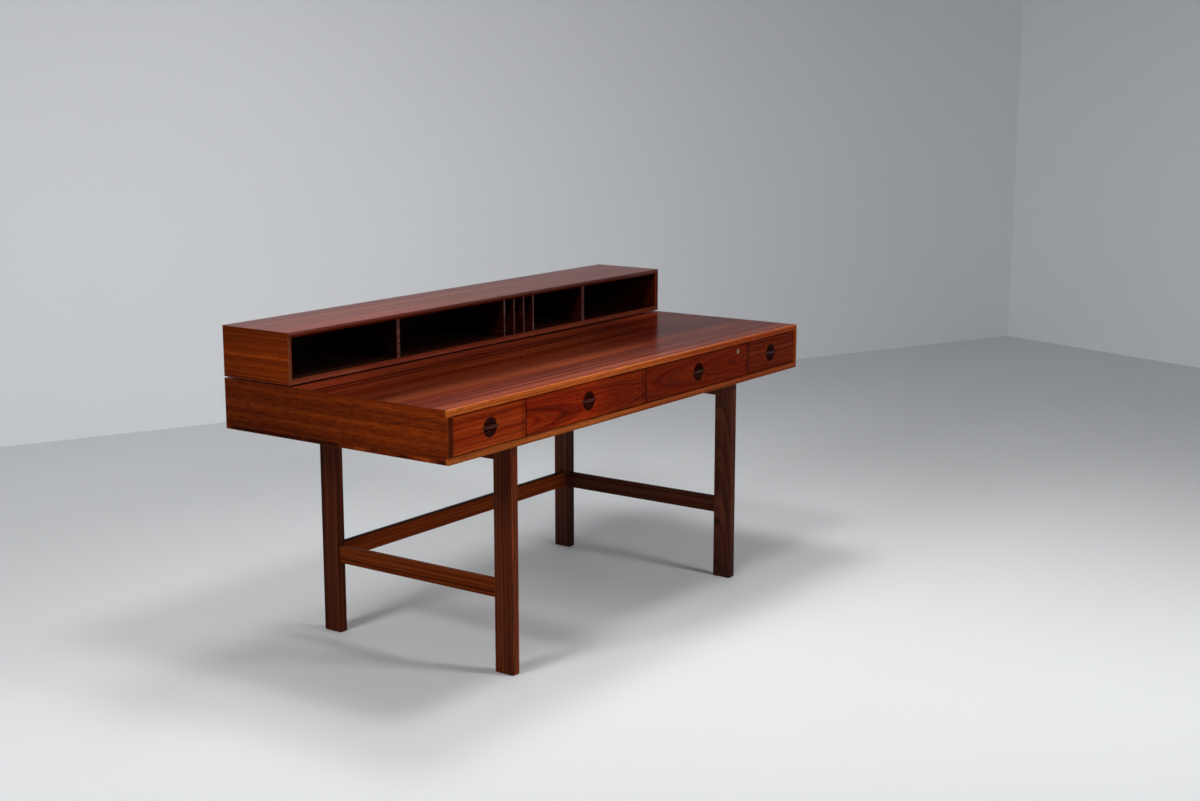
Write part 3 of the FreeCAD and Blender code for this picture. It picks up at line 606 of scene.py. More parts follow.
@dataclass(frozen=True)
class Plaster(Finish):
    """Matt pale paint on the studio's floor and walls, which are clear from behind.

    Attributes:
        name: The material's name.
        colour: The paint's colour.
        horizon: The colour that the surface runs into far off to the front and the left.
    """

    CLOUD_RATE = 1.2
    SHADE = 0.985
    ROUGHNESS = 0.6
    SPECULAR = 0.3
    FAR_LEFT = (-3.2, -5.5)
    FAR_FRONT = (-2.6, -5.0)

    name: str
    colour: Colour
    horizon: Colour

    def paint(self, sheet: NodeSheet, shader: bpy.types.Node) -> None:
        """Feeds the shader with faintly mottled paint."""
        clouds = sheet.noise(sheet.scaled(self.CLOUD_RATE), 3.0)
        dark = tuple(self.SHADE * part for part in self.colour)
        sheet.feed(shader.inputs["Base Color"], sheet.ramp(clouds, ((0.3, dark), (0.7, self.colour))))
        shader.inputs["Roughness"].default_value = self.ROUGHNESS
        shader.inputs["Specular IOR Level"].default_value = self.SPECULAR
        width, depth, _ = sheet.place()
        far = sheet.maths("MAXIMUM", sheet.span(width, *self.FAR_LEFT), sheet.span(depth, *self.FAR_FRONT))
        glow = sheet.add("ShaderNodeEmission")
        sheet.feed(glow.inputs[0], (*self.horizon, 1.0))
        mixed = sheet.mix(sheet.maths("MULTIPLY", far, sheet.sight()), shader, glow)
        behind = sheet.add("ShaderNodeNewGeometry").outputs["Backfacing"]
        mixed = sheet.mix(behind, mixed, sheet.add("ShaderNodeBsdfTransparent"))
        sheet.feed(sheet.tree.nodes["Material Output"].inputs[0], mixed.outputs[0])


PANEL_RED = Palette(
    (0.01, 0.002, 0.002), (0.04, 0.0043, 0.002), (0.119, 0.0138, 0.004), (0.23, 0.042, 0.0125)
)
PANEL_BROWN = Palette(
    (0.01, 0.0016, 0.0006), (0.045, 0.0057, 0.0007), (0.107, 0.0145, 0.0012), (0.168, 0.03, 0.0032)
)
END_ORANGE = Palette(
    (0.015, 0.003, 0.0006), (0.065, 0.008, 0.0006), (0.15, 0.02, 0.001), (0.25, 0.048, 0.005)
)
FRONT_RED = Palette(
    (0.012, 0.001, 0.0005), (0.07, 0.0055, 0.0008), (0.235, 0.0195, 0.0016), (0.38, 0.055, 0.0065)
)
FRONT_CRIMSON = Palette(
    (0.012, 0.001, 0.0005), (0.07, 0.004, 0.0005), (0.24, 0.0135, 0.0004), (0.39, 0.038, 0.0018)
)
SOLID_GREY = Palette(
    (0.01, 0.004, 0.003), (0.045, 0.012, 0.007), (0.115, 0.031, 0.016), (0.21, 0.062, 0.034)
)
SOLID_DARK = Palette(
    (0.008, 0.002, 0.001), (0.035, 0.006, 0.001), (0.095, 0.016, 0.003), (0.19, 0.04, 0.008)
)
LIPPING_ORANGE = Palette(
    (0.047, 0.01, 0.002), (0.28, 0.045, 0.006), (0.53, 0.1, 0.014), (0.72, 0.2, 0.042)
)
LIPPING_BROWN = Palette(
    (0.035, 0.009, 0.002), (0.18, 0.034, 0.005), (0.36, 0.072, 0.011), (0.54, 0.147, 0.03)
)
# Palettes of the eased edges, paler than the boards: worn lacquer with a painted highlight along the edge.
EDGE_PALE = Palette(
    (0.02, 0.01, 0.006), (0.062, 0.029, 0.018), (0.105, 0.053, 0.034), (0.165, 0.09, 0.06)
)
EDGE_PINK = Palette(
    (0.04, 0.012, 0.008), (0.11, 0.03, 0.018), (0.18, 0.06, 0.04), (0.28, 0.11, 0.08)
)
EDGE_WEAR_AND_HIGHLIGHT = Palette(
    (0.04, 0.008, 0.002), (0.12, 0.022, 0.005), (0.2, 0.045, 0.01), (0.32, 0.09, 0.025)
)
DRAWER_TIMBER = Palette(
    (0.16, 0.075, 0.035), (0.3, 0.16, 0.08), (0.42, 0.25, 0.135), (0.52, 0.33, 0.19)
)
PLYWOOD = Palette(
    (0.22, 0.12, 0.06), (0.38, 0.23, 0.12), (0.5, 0.33, 0.19), (0.6, 0.42, 0.26)
)

BRASS = Metal("aged_brass", (0.72, 0.5, 0.22), (0.38, 0.25, 0.11), 0.28)
STEEL = Metal("plain_steel", (0.56, 0.55, 0.53), (0.3, 0.29, 0.28), 0.35)
NICKEL = Metal("satin_nickel", (0.43, 0.32, 0.2), (0.26, 0.19, 0.11), 0.34)
FELT = Felt("brown_felt", (0.14, 0.1, 0.08))


@dataclass(frozen=True)
class Easing:
    """How far the edges of a piece are eased.

    Attributes:
        width: The width of the eased edge, in metres.
        steps: The number of facets round it.
        angle: The least angle between faces that counts as an edge, in degrees.
    """

    MERGE_DISTANCE = 0.00001
    FLAT_ANGLE = 0.5

    width: float
    steps: int = 2
    angle: float = 35.0

    def apply(self, piece: bpy.types.Object, edge_slot: int) -> None:
        """Adds the modifiers that ease a piece's edges.

        Args:
            piece: The piece to ease.
            edge_slot: The material slot that the eased faces take.
        """
        weld = piece.modifiers.new("joined_faces", "WELD")
        weld.merge_threshold = self.MERGE_DISTANCE
        plane = piece.modifiers.new("whole_faces", "DECIMATE")
        plane.decimate_type = "DISSOLVE"
        plane.angle_limit = math.radians(self.FLAT_ANGLE)
        ease = piece.modifiers.new("eased_edges", "BEVEL")
        ease.width = self.width
        ease.segments = self.steps
        ease.limit_method = "ANGLE"
        ease.angle_limit = math.radians(self.angle)
        ease.harden_normals = True
        ease.material = edge_slot


class SubAssembly(ABC):
    """A group of pieces that are made and finished together."""

    @abstractmethod
    def dress(self) -> list[str]:
        """Finishes the pieces, and returns their names."""

    @staticmethod
    def finish(node: str, finish: Finish, edge: Finish | None = None, easing: Easing | None = None) -> str:
        """Gives one solid its finish and eases its edges.

        Args:
            node: The solid's name.
            finish: Its finish.
            edge: The finish of its eased edges, where that differs.
            easing: How its edges are eased, if they are.

        Returns:
            The solid's name.
        """
        piece = frame["nodes"][node]
        piece.data.materials.clear()
        piece.data.materials.append(finish.material())
        if edge is not None:
            piece.data.materials.append(edge.material())
        if easing is not None:
            easing.apply(piece, 0 if edge is None else 1)
        return node


@dataclass
class LegFrames(SubAssembly):
    """The two leg frames, the stretcher between them and the screws that hold the case.

    Attributes:
        easing: How the edges of the rails and legs are eased.
    """

    # Painted shade: the right-hand legs darken towards the floor.
    PAINTED_SHADE_FOOT = Zone((0.5, 0.55, 0.7), 0.14, height=(-FAR, 0.08))
    ARCHED_HEART = (-0.285, -0.46)
    # Painted light on the rear stretcher: its front face is brightened, and its top face is dimmed and greyed
    # as painted shade and sheen.
    REAR_PAINTED_LIGHT = (
        Zone((2.5, 2.5, 2.5), depth=(-FAR, STRETCHER_FACE)),
        Zone((0.6, 0.85, 1.3), height=(STRETCHER_TOP, FAR)),
    )

    easing: Easing = Easing(0.0008)

    def dress(self) -> list[str]:
        """Finishes the legs, rails and screws, and returns their names."""
        done = []
        legs = Wood("leg_rosewood", SOLID_DARK, Axis.HEIGHT, Axis.WIDTH, 1.0, heart=(0.9, 0.2), wander=0.02,
                    band_rate=22.0, streak_rate=120.0, vein_share=0.8, roughness=0.36, specular=0.05)
        # Each leg's front face is tinted with painted light and shade: brightened on the left-hand legs,
        # darkened on the right-hand ones.
        for index, (corner, palette, front, tint) in enumerate((
            ("front_left", SOLID_DARK, FRONT_LEG_FACE, (1.85, 1.65, 1.5)),
            ("front_right", SOLID_GREY.toned(1.05), FRONT_LEG_FACE, (0.62, 0.5, 0.42)),
            ("rear_left", SOLID_DARK.toned(0.65), REAR_LEG_FACE, (1.35, 1.2, 1.1)),
            ("rear_right", SOLID_GREY.toned(1.1), REAR_LEG_FACE, (0.45, 0.45, 0.45)),
        )):
            face = Zone(tint, depth=(-FAR, front))
            zones = (face, self.PAINTED_SHADE_FOOT) if corner.endswith("right") else (face,)
            seed = 1.0 + 1.7 * index
            cut = replace(legs, name=f"{legs.name}_{corner}", palette=palette, seed=seed, zones=zones)
            if corner == "front_right":
                cut = replace(cut, heart=self.ARCHED_HEART, tilt=0.08)
            done.append(self.finish(f"leg_{corner}", cut))
        rails = Wood("rail_rosewood", SOLID_DARK, Axis.DEPTH, Axis.WIDTH, 7.0, heart=(0.9, 0.2),
                     wander=0.02, band_rate=22.0, streak_rate=120.0, vein_share=0.7, roughness=0.42,
                     specular=0.01)
        for index, side in enumerate(("left", "right")):
            for step, place in enumerate(("top_rail", "side_stretcher")):
                palette = SOLID_DARK.toned(1.2) if side == "left" else SOLID_GREY.toned(0.8)
                seed = 7.0 + 2.3 * index + 0.9 * step
                cut = replace(rails, name=f"{place}_rosewood_{side}", palette=palette, seed=seed)
                done.append(self.finish(f"{place}_{side}", cut, None, self.easing))
        rear = replace(rails, name="rear_stretcher_rosewood", palette=SOLID_DARK.toned(1.3),
                       grain=Axis.WIDTH, face=Axis.DEPTH, seed=13.0, zones=self.REAR_PAINTED_LIGHT)
        done.append(self.finish("rear_stretcher", rear, None, self.easing))
        done.append(self.finish("case_screws", STEEL))
        return done


@dataclass
class DrawerCase(SubAssembly):
    """The case that holds the drawers: its top, its ends, its lippings and what lies inside.

    Attributes:
        easing: How the edges of its panels are eased.
    """

    # Painted shade over the right-hand part of the desktop.
    PAINTED_SHADE_RIGHT_THIRD = Zone((0.7, 0.68, 0.7), 0.3, width=(0.15, FAR))
    # Painted light at the desktop's rear corners, lifting the painted shade from the hutch there.
    PAINTED_LIGHT_RIGHT_REAR = Zone((2.2, 1.9, 1.5), 0.15, width=(0.6, FAR), depth=(-0.05, FAR))
    PAINTED_LIGHT_LEFT_REAR = Zone((1.9, 1.9, 1.9), 0.15, width=(-FAR, -0.6), depth=(0.0, FAR))
    # Painted sheen, greyer and paler, over the front left of the desktop.
    PAINTED_SHEEN_LEFT_FRONT = Zone((1.0, 1.25, 1.5), 0.06, width=(-FAR, 0.2), depth=(-0.3, -0.1))
    # Painted shade over the right-hand part of the lippings.
    PAINTED_SHADE_RIGHT = Zone((0.62, 0.48, 0.6), 0.6, width=(0.1, FAR))
    FRONT_HALF = Zone((1.77, 1.77, 1.77), 0.35, depth=(-FAR, -0.05))
    # Painted shadow on the left end's front edge, beside the gap at the first drawer.
    GAP_SHADE_EDGE = Zone((0.5, 0.45, 0.45), depth=(-FAR, CASE_FACE), height=(0.616, 0.712))
    # The desktop's tones paint shade from the hutch: the wood darkens from its front towards the rear.
    TOP_TONES = (
        (-0.367, 1.25),
        (-0.33, 1.22),
        (-0.25, 1.25),
        (-0.15, 0.68),
        (-0.05, 0.5),
        (0.05, 0.42),
        (0.12, 0.6),
        (0.367, 0.6),
    )
    END_TONES = (
        (0.599, 0.9),
        (0.63, 1.0),
        (0.66, 1.1),
        (0.69, 1.02),
        (0.729, 1.2),
    )

    easing: Easing = Easing(0.0006)

    def dress(self) -> list[str]:
        """Finishes the panels of the case, and returns their names."""
        # The eased edges take the paler palette: worn lacquer with a painted highlight.
        edge = Wood("case_edge", EDGE_WEAR_AND_HIGHLIGHT, Axis.WIDTH, Axis.DEPTH, 3.0, roughness=0.34)
        top = Wood("desk_top_rosewood", PANEL_RED, Axis.WIDTH, Axis.HEIGHT, 2.4, heart=(1.984, 0.6),
                   wander=0.03, band_rate=15.0, ring_rate=90.0, streak_rate=70.0, contrast=1.5,
                   vein_share=0.75, tones=self.TOP_TONES,
                   zones=(self.PAINTED_SHADE_RIGHT_THIRD, self.PAINTED_LIGHT_RIGHT_REAR, self.PAINTED_LIGHT_LEFT_REAR, self.PAINTED_SHEEN_LEFT_FRONT),
                   roughness=0.12, dulling=0.04, pores=0.015, specular=0.01)
        done = [self.finish("case_top", top, edge, self.easing)]
        # The bottom and back keep the top's tones and zones, with their painted shade, light and sheen.
        under = replace(top, name="case_bottom_rosewood", palette=PANEL_BROWN, seed=5.1)
        done.append(self.finish("case_bottom", under, edge, self.easing))
        ends = Wood("case_end_rosewood", PANEL_BROWN, Axis.DEPTH, Axis.WIDTH, 3.2, heart=(0.4, 0.25),
                    wander=0.03, band_rate=9.0, ring_rate=60.0, streak_rate=90.0, contrast=0.8,
                    vein_share=0.25, tones=self.END_TONES, zones=(self.FRONT_HALF,), burr=(0.012, 0.599),
                    flecks=0.7, roughness=0.34)
        left = replace(ends, name="case_left_end_rosewood", zones=(*ends.zones, self.GAP_SHADE_EDGE))
        right = replace(ends, name="case_right_end_rosewood", palette=END_ORANGE, seed=6.4)
        done.append(self.finish("case_left_end", left, edge, self.easing))
        done.append(self.finish("case_right_end", right, edge, self.easing))
        back = replace(top, name="case_back_rosewood", face=Axis.DEPTH, seed=8.2)
        done.append(self.finish("case_back", back, edge, self.easing))
        lipping = Wood("lipping_rosewood", LIPPING_ORANGE, Axis.WIDTH, Axis.DEPTH, 4.0, wander=0.01,
                       streak_rate=160.0, contrast=1.8, vein_share=0.65, flecks=0.5,
                       zones=(self.PAINTED_SHADE_RIGHT,), roughness=0.32)
        for place, palette, seed in (("top", LIPPING_ORANGE, 4.0), ("bottom", LIPPING_BROWN, 9.5)):
            cut = replace(lipping, name=f"{place}_{lipping.name}", palette=palette, seed=seed)
            done.append(self.finish(f"case_{place}_lipping", cut, None, self.easing))
        inside = Wood("case_inside_timber", DRAWER_TIMBER, Axis.DEPTH, Axis.WIDTH, 11.0, roughness=0.5)
        for place in ("left", "centre", "right"):
            done.append(self.finish(f"partition_{place}", inside, None, self.easing))
        done.append(self.finish("drawer_runners", inside, None, self.easing))
        return done


@dataclass
class Drawer(SubAssembly):
    """One drawer with its front, its pull and its box.

    Attributes:
        number: The drawer's place from the left.
        front: The cut of wood on its front.
        easing: How its edges are eased.
    """

    # Painted shade on the pulls of the right-hand drawers.
    PAINTED_SHADE_RIGHT = Zone((0.55, 0.45, 0.4), width=(0.1, FAR))

    number: int
    front: Wood
    easing: Easing = Easing(0.0006)

    def dress(self) -> list[str]:
        """Finishes the drawer's pieces, and returns their names."""
        name = f"drawer_{self.number}"
        pull = Wood("pull_rosewood", SOLID_DARK.toned(0.5), Axis.WIDTH, Axis.DEPTH, 15.0, contrast=0.6,
                    zones=(self.PAINTED_SHADE_RIGHT,), roughness=0.25, specular=0.11)
        box = Wood("drawer_box_timber", DRAWER_TIMBER, Axis.DEPTH, Axis.WIDTH, 17.0, contrast=0.7,
                   roughness=0.5)
        back = replace(box, name="drawer_back_timber", grain=Axis.WIDTH, face=Axis.DEPTH, seed=18.0)
        bottom = Wood("drawer_bottom_plywood", PLYWOOD, Axis.WIDTH, Axis.HEIGHT, 19.0, contrast=0.6,
                      roughness=0.55)
        return [
            self.finish(f"{name}_front", self.front, None, self.easing),
            self.finish(f"{name}_pull", pull),
            self.finish(f"{name}_sides", box, None, self.easing),
            self.finish(f"{name}_back", back),
            self.finish(f"{name}_bottom", bottom),
        ]


@dataclass
class Fittings(SubAssembly):
    """Small metal pieces that keep their own edges.

    Attributes:
        finishes: The pieces, each with its finish.
    """

    finishes: tuple[tuple[str, Finish], ...]

    def dress(self) -> list[str]:
        """Finishes the pieces, and returns their names."""
        return [self.finish(node, finish) for node, finish in self.finishes]


@dataclass
class DrawerLock(Fittings):
    """The lock in the third drawer's front."""

    finishes: tuple[tuple[str, Finish], ...] = (
        ("lock_body", NICKEL),
        ("lock_plug", NICKEL),
        ("lock_bolt", STEEL),
    )


@dataclass
class FlipHinges(Fittings):
    """The hinges that the hutch flips over on."""

    finishes: tuple[tuple[str, Finish], ...] = (
        ("hinge_case_leaves", BRASS),
        ("hinge_hutch_leaves", BRASS),
        ("hinge_pins", STEEL),
        ("hinge_case_screws", BRASS),
        ("hinge_hutch_screws", BRASS),
    )


@dataclass
class Hutch(SubAssembly):
    """The open pigeonhole hutch along the rear edge.

    Attributes:
        easing: How the edges of its panels are eased.
    """

    # Painted shade inside the bays: the inner faces are darker and greyer, darkest on the bay floor, and more
    # plainly darkened on the right end and the dividers.
    PAINTED_SHADE_INSIDE = Zone(
        (0.52, 1.6, 3.5), width=(-0.804, 0.804), depth=(0.1406, 0.361), height=(0.744, 0.852)
    )
    PAINTED_SHADE_BAY_FLOOR = replace(PAINTED_SHADE_INSIDE, tint=(0.13, 0.27, 0.55))
    PAINTED_SHADE_INSIDE_LIT = replace(PAINTED_SHADE_INSIDE, tint=(0.45, 0.45, 0.7))
    FRONT = (-FAR, HUTCH_FACE)
    # Painted light on the bottom's front edge: a paler, greyer painted highlight all along, brighter still on
    # the left, and painted shade on the right.
    LOWER_EDGE_PAINTED_LIGHT = (
        Zone((1.5, 2.3, 3.7), depth=FRONT),
        Zone((1.7, 2.4, 2.6), 0.08, width=(-FAR, -0.56), depth=FRONT),
        Zone((0.45, 0.28, 0.16), 0.2, width=(0.35, FAR), depth=FRONT),
    )
    BELOW_TOP = (-FAR, HUTCH_TOP)
    # Painted light on the top's front edge: a greyer painted highlight all along, brighter on the left, and
    # painted shade on the right.
    UPPER_EDGE_PAINTED_LIGHT = (
        Zone((1.0, 2.6, 5.5), depth=FRONT, height=BELOW_TOP),
        Zone((2.6, 2.0, 1.8), 0.3, width=(-FAR, -0.3), depth=FRONT, height=BELOW_TOP),
        Zone((0.45, 0.5, 0.7), 0.25, width=(0.0, FAR), depth=FRONT, height=BELOW_TOP),
    )
    # Painted light and shade along the hutch's eased edges: brighter on the left, darker on the right.
    EDGE_PAINTED_LIGHT = (
        Zone((1.36, 1.36, 1.36), 0.3, width=(-FAR, -0.3)),
        Zone((0.7, 0.7, 0.72), 0.4, width=(0.2, FAR)),
    )
    REAR_HALF = Zone((0.8, 0.78, 0.8), 0.1, depth=(0.26, FAR))
    # Painted shade over the right half of the hutch top, dimming the red most.
    PAINTED_SHADE_RIGHT_HALF = Zone((0.84, 0.92, 1.0), 0.3, width=(0.0, FAR))
    # Painted highlight on the front edges of the hutch ends, greyed; the right one is also darkened as
    # painted shade.
    LEFT_EDGE_SHEEN = Zone((1.0, 2.0, 16.0), depth=FRONT)
    RIGHT_EDGE_SHEEN = replace(LEFT_EDGE_SHEEN, tint=(0.3, 0.8, 20.0))
    # Painted highlight on the dividers' front edges, paler and greyer.
    DIVIDER_EDGE_SHEEN = Zone((0.9, 2.6, 8.0), depth=(-FAR, DIVIDER_FACE))
    TOP_TONES = ((0.137, 1.3), (0.17, 1.25), (0.2, 1.0), (0.367, 1.0))
    END_TONES = (
        (0.733, 0.85),
        (0.77, 0.95),
        (0.8, 1.1),
        (0.83, 0.85),
        (0.863, 0.65),
    )

    easing: Easing = Easing(0.0006)

    def dress(self) -> list[str]:
        """Finishes the hutch's panels, dividers and pads, and returns their names."""
        edge = Wood("hutch_edge", EDGE_PINK, Axis.WIDTH, Axis.DEPTH, 6.0, zones=self.EDGE_PAINTED_LIGHT,
                    roughness=0.34)
        back = Wood("hutch_back_rosewood", PANEL_RED, Axis.WIDTH, Axis.DEPTH, 27.4, heart=(2.0, 0.6),
                    wander=0.02, band_rate=18.0, ring_rate=90.0, streak_rate=80.0, contrast=1.0,
                    vein_share=0.4, zones=(self.PAINTED_SHADE_INSIDE,), roughness=0.2, dulling=0.05, pores=0.015,
                    specular=0.05)
        top = replace(back, name="hutch_top_rosewood", face=Axis.HEIGHT, seed=21.3, tones=self.TOP_TONES,
                      zones=(self.PAINTED_SHADE_INSIDE, self.PAINTED_SHADE_RIGHT_HALF, *self.UPPER_EDGE_PAINTED_LIGHT))
        bottom = replace(back, name="hutch_bottom_rosewood", face=Axis.HEIGHT, seed=23.1,
                         zones=(self.PAINTED_SHADE_BAY_FLOOR, *self.LOWER_EDGE_PAINTED_LIGHT))
        ends = Wood("hutch_end_rosewood", END_ORANGE.toned(1.22), Axis.DEPTH, Axis.WIDTH, 25.0,
                    heart=(1.2, 0.2), wander=0.02, band_rate=20.0, streak_rate=110.0, contrast=1.0,
                    vein_share=0.5, tones=self.END_TONES, zones=(self.PAINTED_SHADE_INSIDE,), flecks=0.35, roughness=0.33)
        done = [
            self.finish("hutch_top", top, edge, self.easing),
            self.finish("hutch_bottom", bottom, edge, self.easing),
            self.finish("hutch_back", back, edge, self.easing),
        ]
        pale = Wood("divider_edge", EDGE_PALE, Axis.HEIGHT, Axis.DEPTH, 8.0, roughness=0.3)
        divider = replace(ends, name="divider_rosewood", palette=PANEL_RED, tones=(),
                          zones=(self.PAINTED_SHADE_INSIDE_LIT, self.DIVIDER_EDGE_SHEEN))
        for side, seed, zones in (("left", 25.0, (self.PAINTED_SHADE_INSIDE, self.LEFT_EDGE_SHEEN, self.REAR_HALF)),
                                  ("right", 29.0, (self.PAINTED_SHADE_INSIDE_LIT, self.RIGHT_EDGE_SHEEN))):
            cut = replace(ends, name=f"{ends.name}_{side}", seed=seed, zones=zones)
            done.append(self.finish(f"hutch_{side}_end", cut, edge, self.easing))
            cut = replace(divider, name=f"bay_{divider.name}_{side}", seed=seed + 6.0)
            done.append(self.finish(f"bay_divider_{side}", cut, pale, self.easing))
        letters = replace(divider, name=f"letter_{divider.name}", seed=37.0)
        done.append(self.finish("letter_dividers", letters, pale, self.easing))
        done.append(self.finish("hutch_pads", FELT))
        return done


@dataclass(frozen=True)
class Lamp:
    """A square softbox of white light.

    Attributes:
        name: The lamp's name.
        place: Where it hangs, in metres.
        aim: The point that it faces.
        width: The length of its sides, in metres.
        power: Its power in watts.
    """

    name: str
    place: Point
    aim: Point
    width: float
    power: float

    def build(self) -> bpy.types.Object:
        """Hangs the lamp in the scene, and returns it."""
        light = bpy.data.lights.new(self.name, "AREA")
        light.shape = "SQUARE"
        light.size = self.width
        light.energy = self.power
        made = bpy.data.objects.new(self.name, light)
        made.location = self.place
        made.rotation_mode = "QUATERNION"
        made.rotation_quaternion = (Vector(self.aim) - Vector(self.place)).to_track_quat("-Z", "Y")
        bpy.context.scene.collection.objects.link(made)
        return made


@dataclass
class Studio:
    """The plain room, its lamps and the camera.

    Attributes:
        camera_place: Where the camera stands, in metres.
        camera_way: The direction that it looks in.
        focal_pixels: Its focal length in pixels of the photograph.
        sensor: The width of its sensor in millimetres.
        floor_half: Half the width of the floor, in metres.
        wall_height: The height of the walls, in metres.
        corners: Points on the floor along the foot of the walls, in metres.
        lamps: The softboxes.
        ambient: The colour of the light that comes from all round.
        horizon: The colour of the air beyond the floor.
        floor_colour: The colour of the floor's paint.
        wall_colour: The colour of the walls' paint.
    """

    camera_place: Point = (-3.8257, -2.9283, 1.5169)
    camera_way: Point = (0.8008, 0.5679, -0.1905)
    focal_pixels: float = 1758.99
    sensor: float = 36.0
    floor_half: float = 16.0
    wall_height: float = 6.0
    corners: tuple[Span, ...] = ((-9.0, 6.981), (5.41, 0.829), (1.345, -10.616))
    lamps: tuple[Lamp, ...] = (
        Lamp("side_softbox", (-3.94, 0.32, 2.53), (-1.97, 0.16, 0.0), 1.02, 74.0),
        Lamp("front_softbox", (0.38, -2.68, 2.4), (0.19, -1.34, 0.0), 0.58, 39.0),
        Lamp("overhead_softbox_1", (-0.48, -0.54, 2.4), (-0.24, -0.27, 0.0), 0.42, 16.7),
        Lamp("overhead_softbox_2", (0.27, 0.22, 2.86), (0.14, 0.11, 0.0), 0.64, 28.0),
    )
    ambient: Colour = (0.015, 0.016, 0.017)
    horizon: Colour = (0.5, 0.515, 0.53)
    floor_colour: Colour = (0.79, 0.803, 0.815)
    wall_colour: Colour = (0.93, 0.945, 0.97)

    def build(self) -> list[str]:
        """Makes the room, the lamps and the camera, and returns what was made."""
        made = [self._floor(), *self._walls()]
        made += [lamp.build() for lamp in self.lamps]
        made.append(self._camera())
        self._world()
        bpy.context.scene.view_settings.view_transform = "Standard"
        return [item.name for item in made]

    def _sheet(self, name: str, corners: Sequence[Point], finish: Finish) -> bpy.types.Object:
        """One flat face of the room.

        Args:
            name: Its name.
            corners: Its corners in metres, anticlockwise as seen from inside the room.
            finish: Its paint.

        Returns:
            The new object.
        """
        mesh = bpy.data.meshes.new(name)
        mesh.from_pydata(corners, [], [tuple(range(len(corners)))])
        mesh.materials.append(finish.material())
        made = bpy.data.objects.new(name, mesh)
        bpy.context.scene.collection.objects.link(made)
        return made

    def _floor(self) -> bpy.types.Object:
        """The pale floor under the desk."""
        half = self.floor_half
        corners = [(-half, -half, 0.0), (half, -half, 0.0), (half, half, 0.0), (-half, half, 0.0)]
        paint = Plaster("floor_paint", self.floor_colour, self.horizon)
        return self._sheet("studio_floor", corners, paint)

    def _walls(self) -> list[bpy.types.Object]:
        """The walls behind the desk, clear from behind so that other views see past them."""
        made = []
        paint = Plaster("wall_paint", self.wall_colour, self.horizon)
        for index, (start, end) in enumerate(zip(self.corners, self.corners[1:])):
            corners = [(*start, 0.0), (*end, 0.0), (*end, self.wall_height), (*start, self.wall_height)]
            made.append(self._sheet(f"studio_wall_{index + 1}", corners, paint))
        return made

    def _camera(self) -> bpy.types.Object:
        """The camera at the photograph's place."""
        lens = bpy.data.cameras.new("photo_camera")
        lens.sensor_fit = "HORIZONTAL"
        lens.sensor_width = self.sensor
        lens.lens = self.focal_pixels / PHOTO_WIDTH * self.sensor
        made = bpy.data.objects.new("photo_camera", lens)
        turn = Vector(self.camera_way).to_track_quat("-Z", "Y").to_matrix().to_4x4()
        made.matrix_world = Matrix.Translation(self.camera_place) @ turn
        bpy.context.scene.collection.objects.link(made)
        bpy.context.scene.camera = made
        return made

    def _world(self) -> None:
        """The light that fills the room from all round, and the pale air that is seen past the floor."""
        world = bpy.data.worlds.new("studio_air")
        world.use_nodes = True
        sheet = NodeSheet(world.node_tree)
        light = world.node_tree.nodes["Background"]
        sheet.feed(light.inputs[0], (*self.ambient, 1.0))
        air = sheet.add("ShaderNodeBackground")
        sheet.feed(air.inputs[0], (*self.horizon, 1.0))
        mixed = sheet.mix(sheet.sight(), light, air)
        sheet.feed(world.node_tree.nodes["World Output"].inputs[0], mixed.outputs[0])
        bpy.context.scene.world = world


STRIP_TINT: Colour = (0.72, 0.62, 0.6)
# Colour of the thin dark lines: painted shadow at the gaps between fronts, a dark joint at the strips' edges.
LINE_TINT: Colour = (0.2, 0.17, 0.17)
LINE_HALF = 0.0008
FRONT_BACK = -0.34
HOLLOW_RADIUS = 0.039
# Painted shade in each pull's hollow, darker and greyer.
HOLLOW_SHADE_TINT: Colour = (0.21, 0.36, 2.6)
HOLLOW_DEPTH: Span = (-0.3655, -0.348)
HOLLOW_HEIGHT: Span = (0.637, 0.691)


def strip(left: float, right: float) -> Zone:
    """A darker strip of veneer down a drawer front, between two places across it."""
    return Zone(STRIP_TINT, width=(left, right), depth=(-FAR, DRAWER_FACE))


def gap_shadow_and_joint_line(place: float) -> Zone:
    """A thin dark line down a drawer front: painted shadow where it lies at the gap between two fronts, and a
    dark joint where it lies at a strip's edge.
    """
    return Zone(LINE_TINT, width=(place - LINE_HALF, place + LINE_HALF), depth=(-FAR, FRONT_BACK))


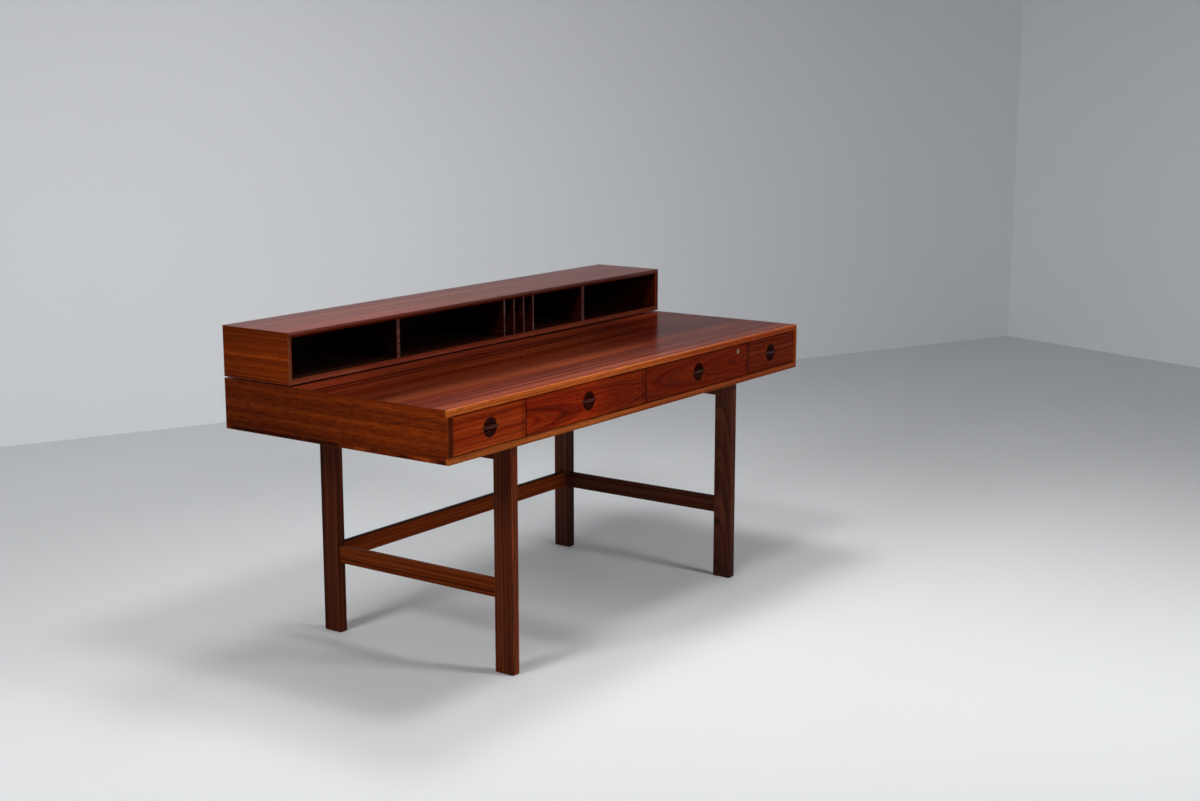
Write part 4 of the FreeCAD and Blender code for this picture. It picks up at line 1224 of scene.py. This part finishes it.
def drawer_fronts() -> list[Drawer]:
    """The four drawers from left to right, each with its own cut of veneer."""
    plain = Wood("drawer_front_rosewood", FRONT_RED, Axis.WIDTH, Axis.DEPTH, 41.0, heart=(0.25, 0.3),
                 wander=0.03, ripple=0.012, band_rate=24.0, ring_rate=170.0, streak_rate=130.0,
                 contrast=1.5, vein_share=0.8, flecks=0.35, roughness=0.32)
    arched = replace(plain, palette=FRONT_CRIMSON, band_rate=9.0, contrast=1.6, vein_share=0.5)
    # Painted sheen: the lower part of each front is paler and greyer.
    foot = Zone((1.25, 1.7, 2.2), 0.012, depth=(-FAR, DRAWER_FACE), height=(-FAR, 0.642))
    # Painted shade near the middle of the desk, over the right-hand part of the second front.
    painted_shade_middle = Zone((0.62, 0.65, 0.69), 0.07, width=(-0.2, 0.1))
    cuts = (
        (plain, 1.25, -0.6601, (strip(-0.54, -0.5238), foot)),
        (replace(arched, heart=(0.652, 0.47), tilt=0.03), 1.03, -0.2613, (
            gap_shadow_and_joint_line(-0.5212), strip(-0.018, -0.0012), gap_shadow_and_joint_line(-0.018), foot, painted_shade_middle,
        )),
        (replace(arched, heart=(0.668, 0.47), tilt=-0.03), 0.51, 0.2613, (gap_shadow_and_joint_line(0.0012),)),
        (plain, 0.56, 0.6601, (strip(0.5238, 0.54), gap_shadow_and_joint_line(0.5238), gap_shadow_and_joint_line(0.54))),
    )
    made = []
    for number, (cut, tone, pull_place, zones) in enumerate(cuts, start=1):
        hollow = (pull_place - HOLLOW_RADIUS, pull_place + HOLLOW_RADIUS)
        recess_shade = Zone(HOLLOW_SHADE_TINT, width=hollow, depth=HOLLOW_DEPTH, height=HOLLOW_HEIGHT)
        front = replace(cut, name=f"drawer_{number}_rosewood", palette=cut.palette.toned(tone),
                        seed=39.0 + 2.0 * number, zones=(recess_shade, *zones))
        made.append(Drawer(number, front))
    return made


def clear_startup_objects() -> None:
    """Takes away what an empty Blender file starts with."""
    kept = {*frame["nodes"].values(), *frame["bodies"].values()}
    for item in list(bpy.data.objects):
        if item not in kept:
            bpy.data.objects.remove(item)


def main() -> None:
    """Builds the room, finishes the desk and keeps its size."""
    logging.basicConfig(level=logging.INFO, format="%(name)s: %(message)s")
    clear_startup_objects()
    bpy.context.view_layer.update()
    for name in Studio().build():
        LOG.info("studio: %s", name)
    assemblies: list[SubAssembly] = [
        LegFrames(), DrawerCase(), *drawer_fronts(), DrawerLock(), FlipHinges(), Hutch(),
    ]
    for assembly in assemblies:
        for name in assembly.dress():
            LOG.info("%s: %s", type(assembly).__name__, name)
    bpy.context.view_layer.update()


if __name__ == "__main__":
    main()
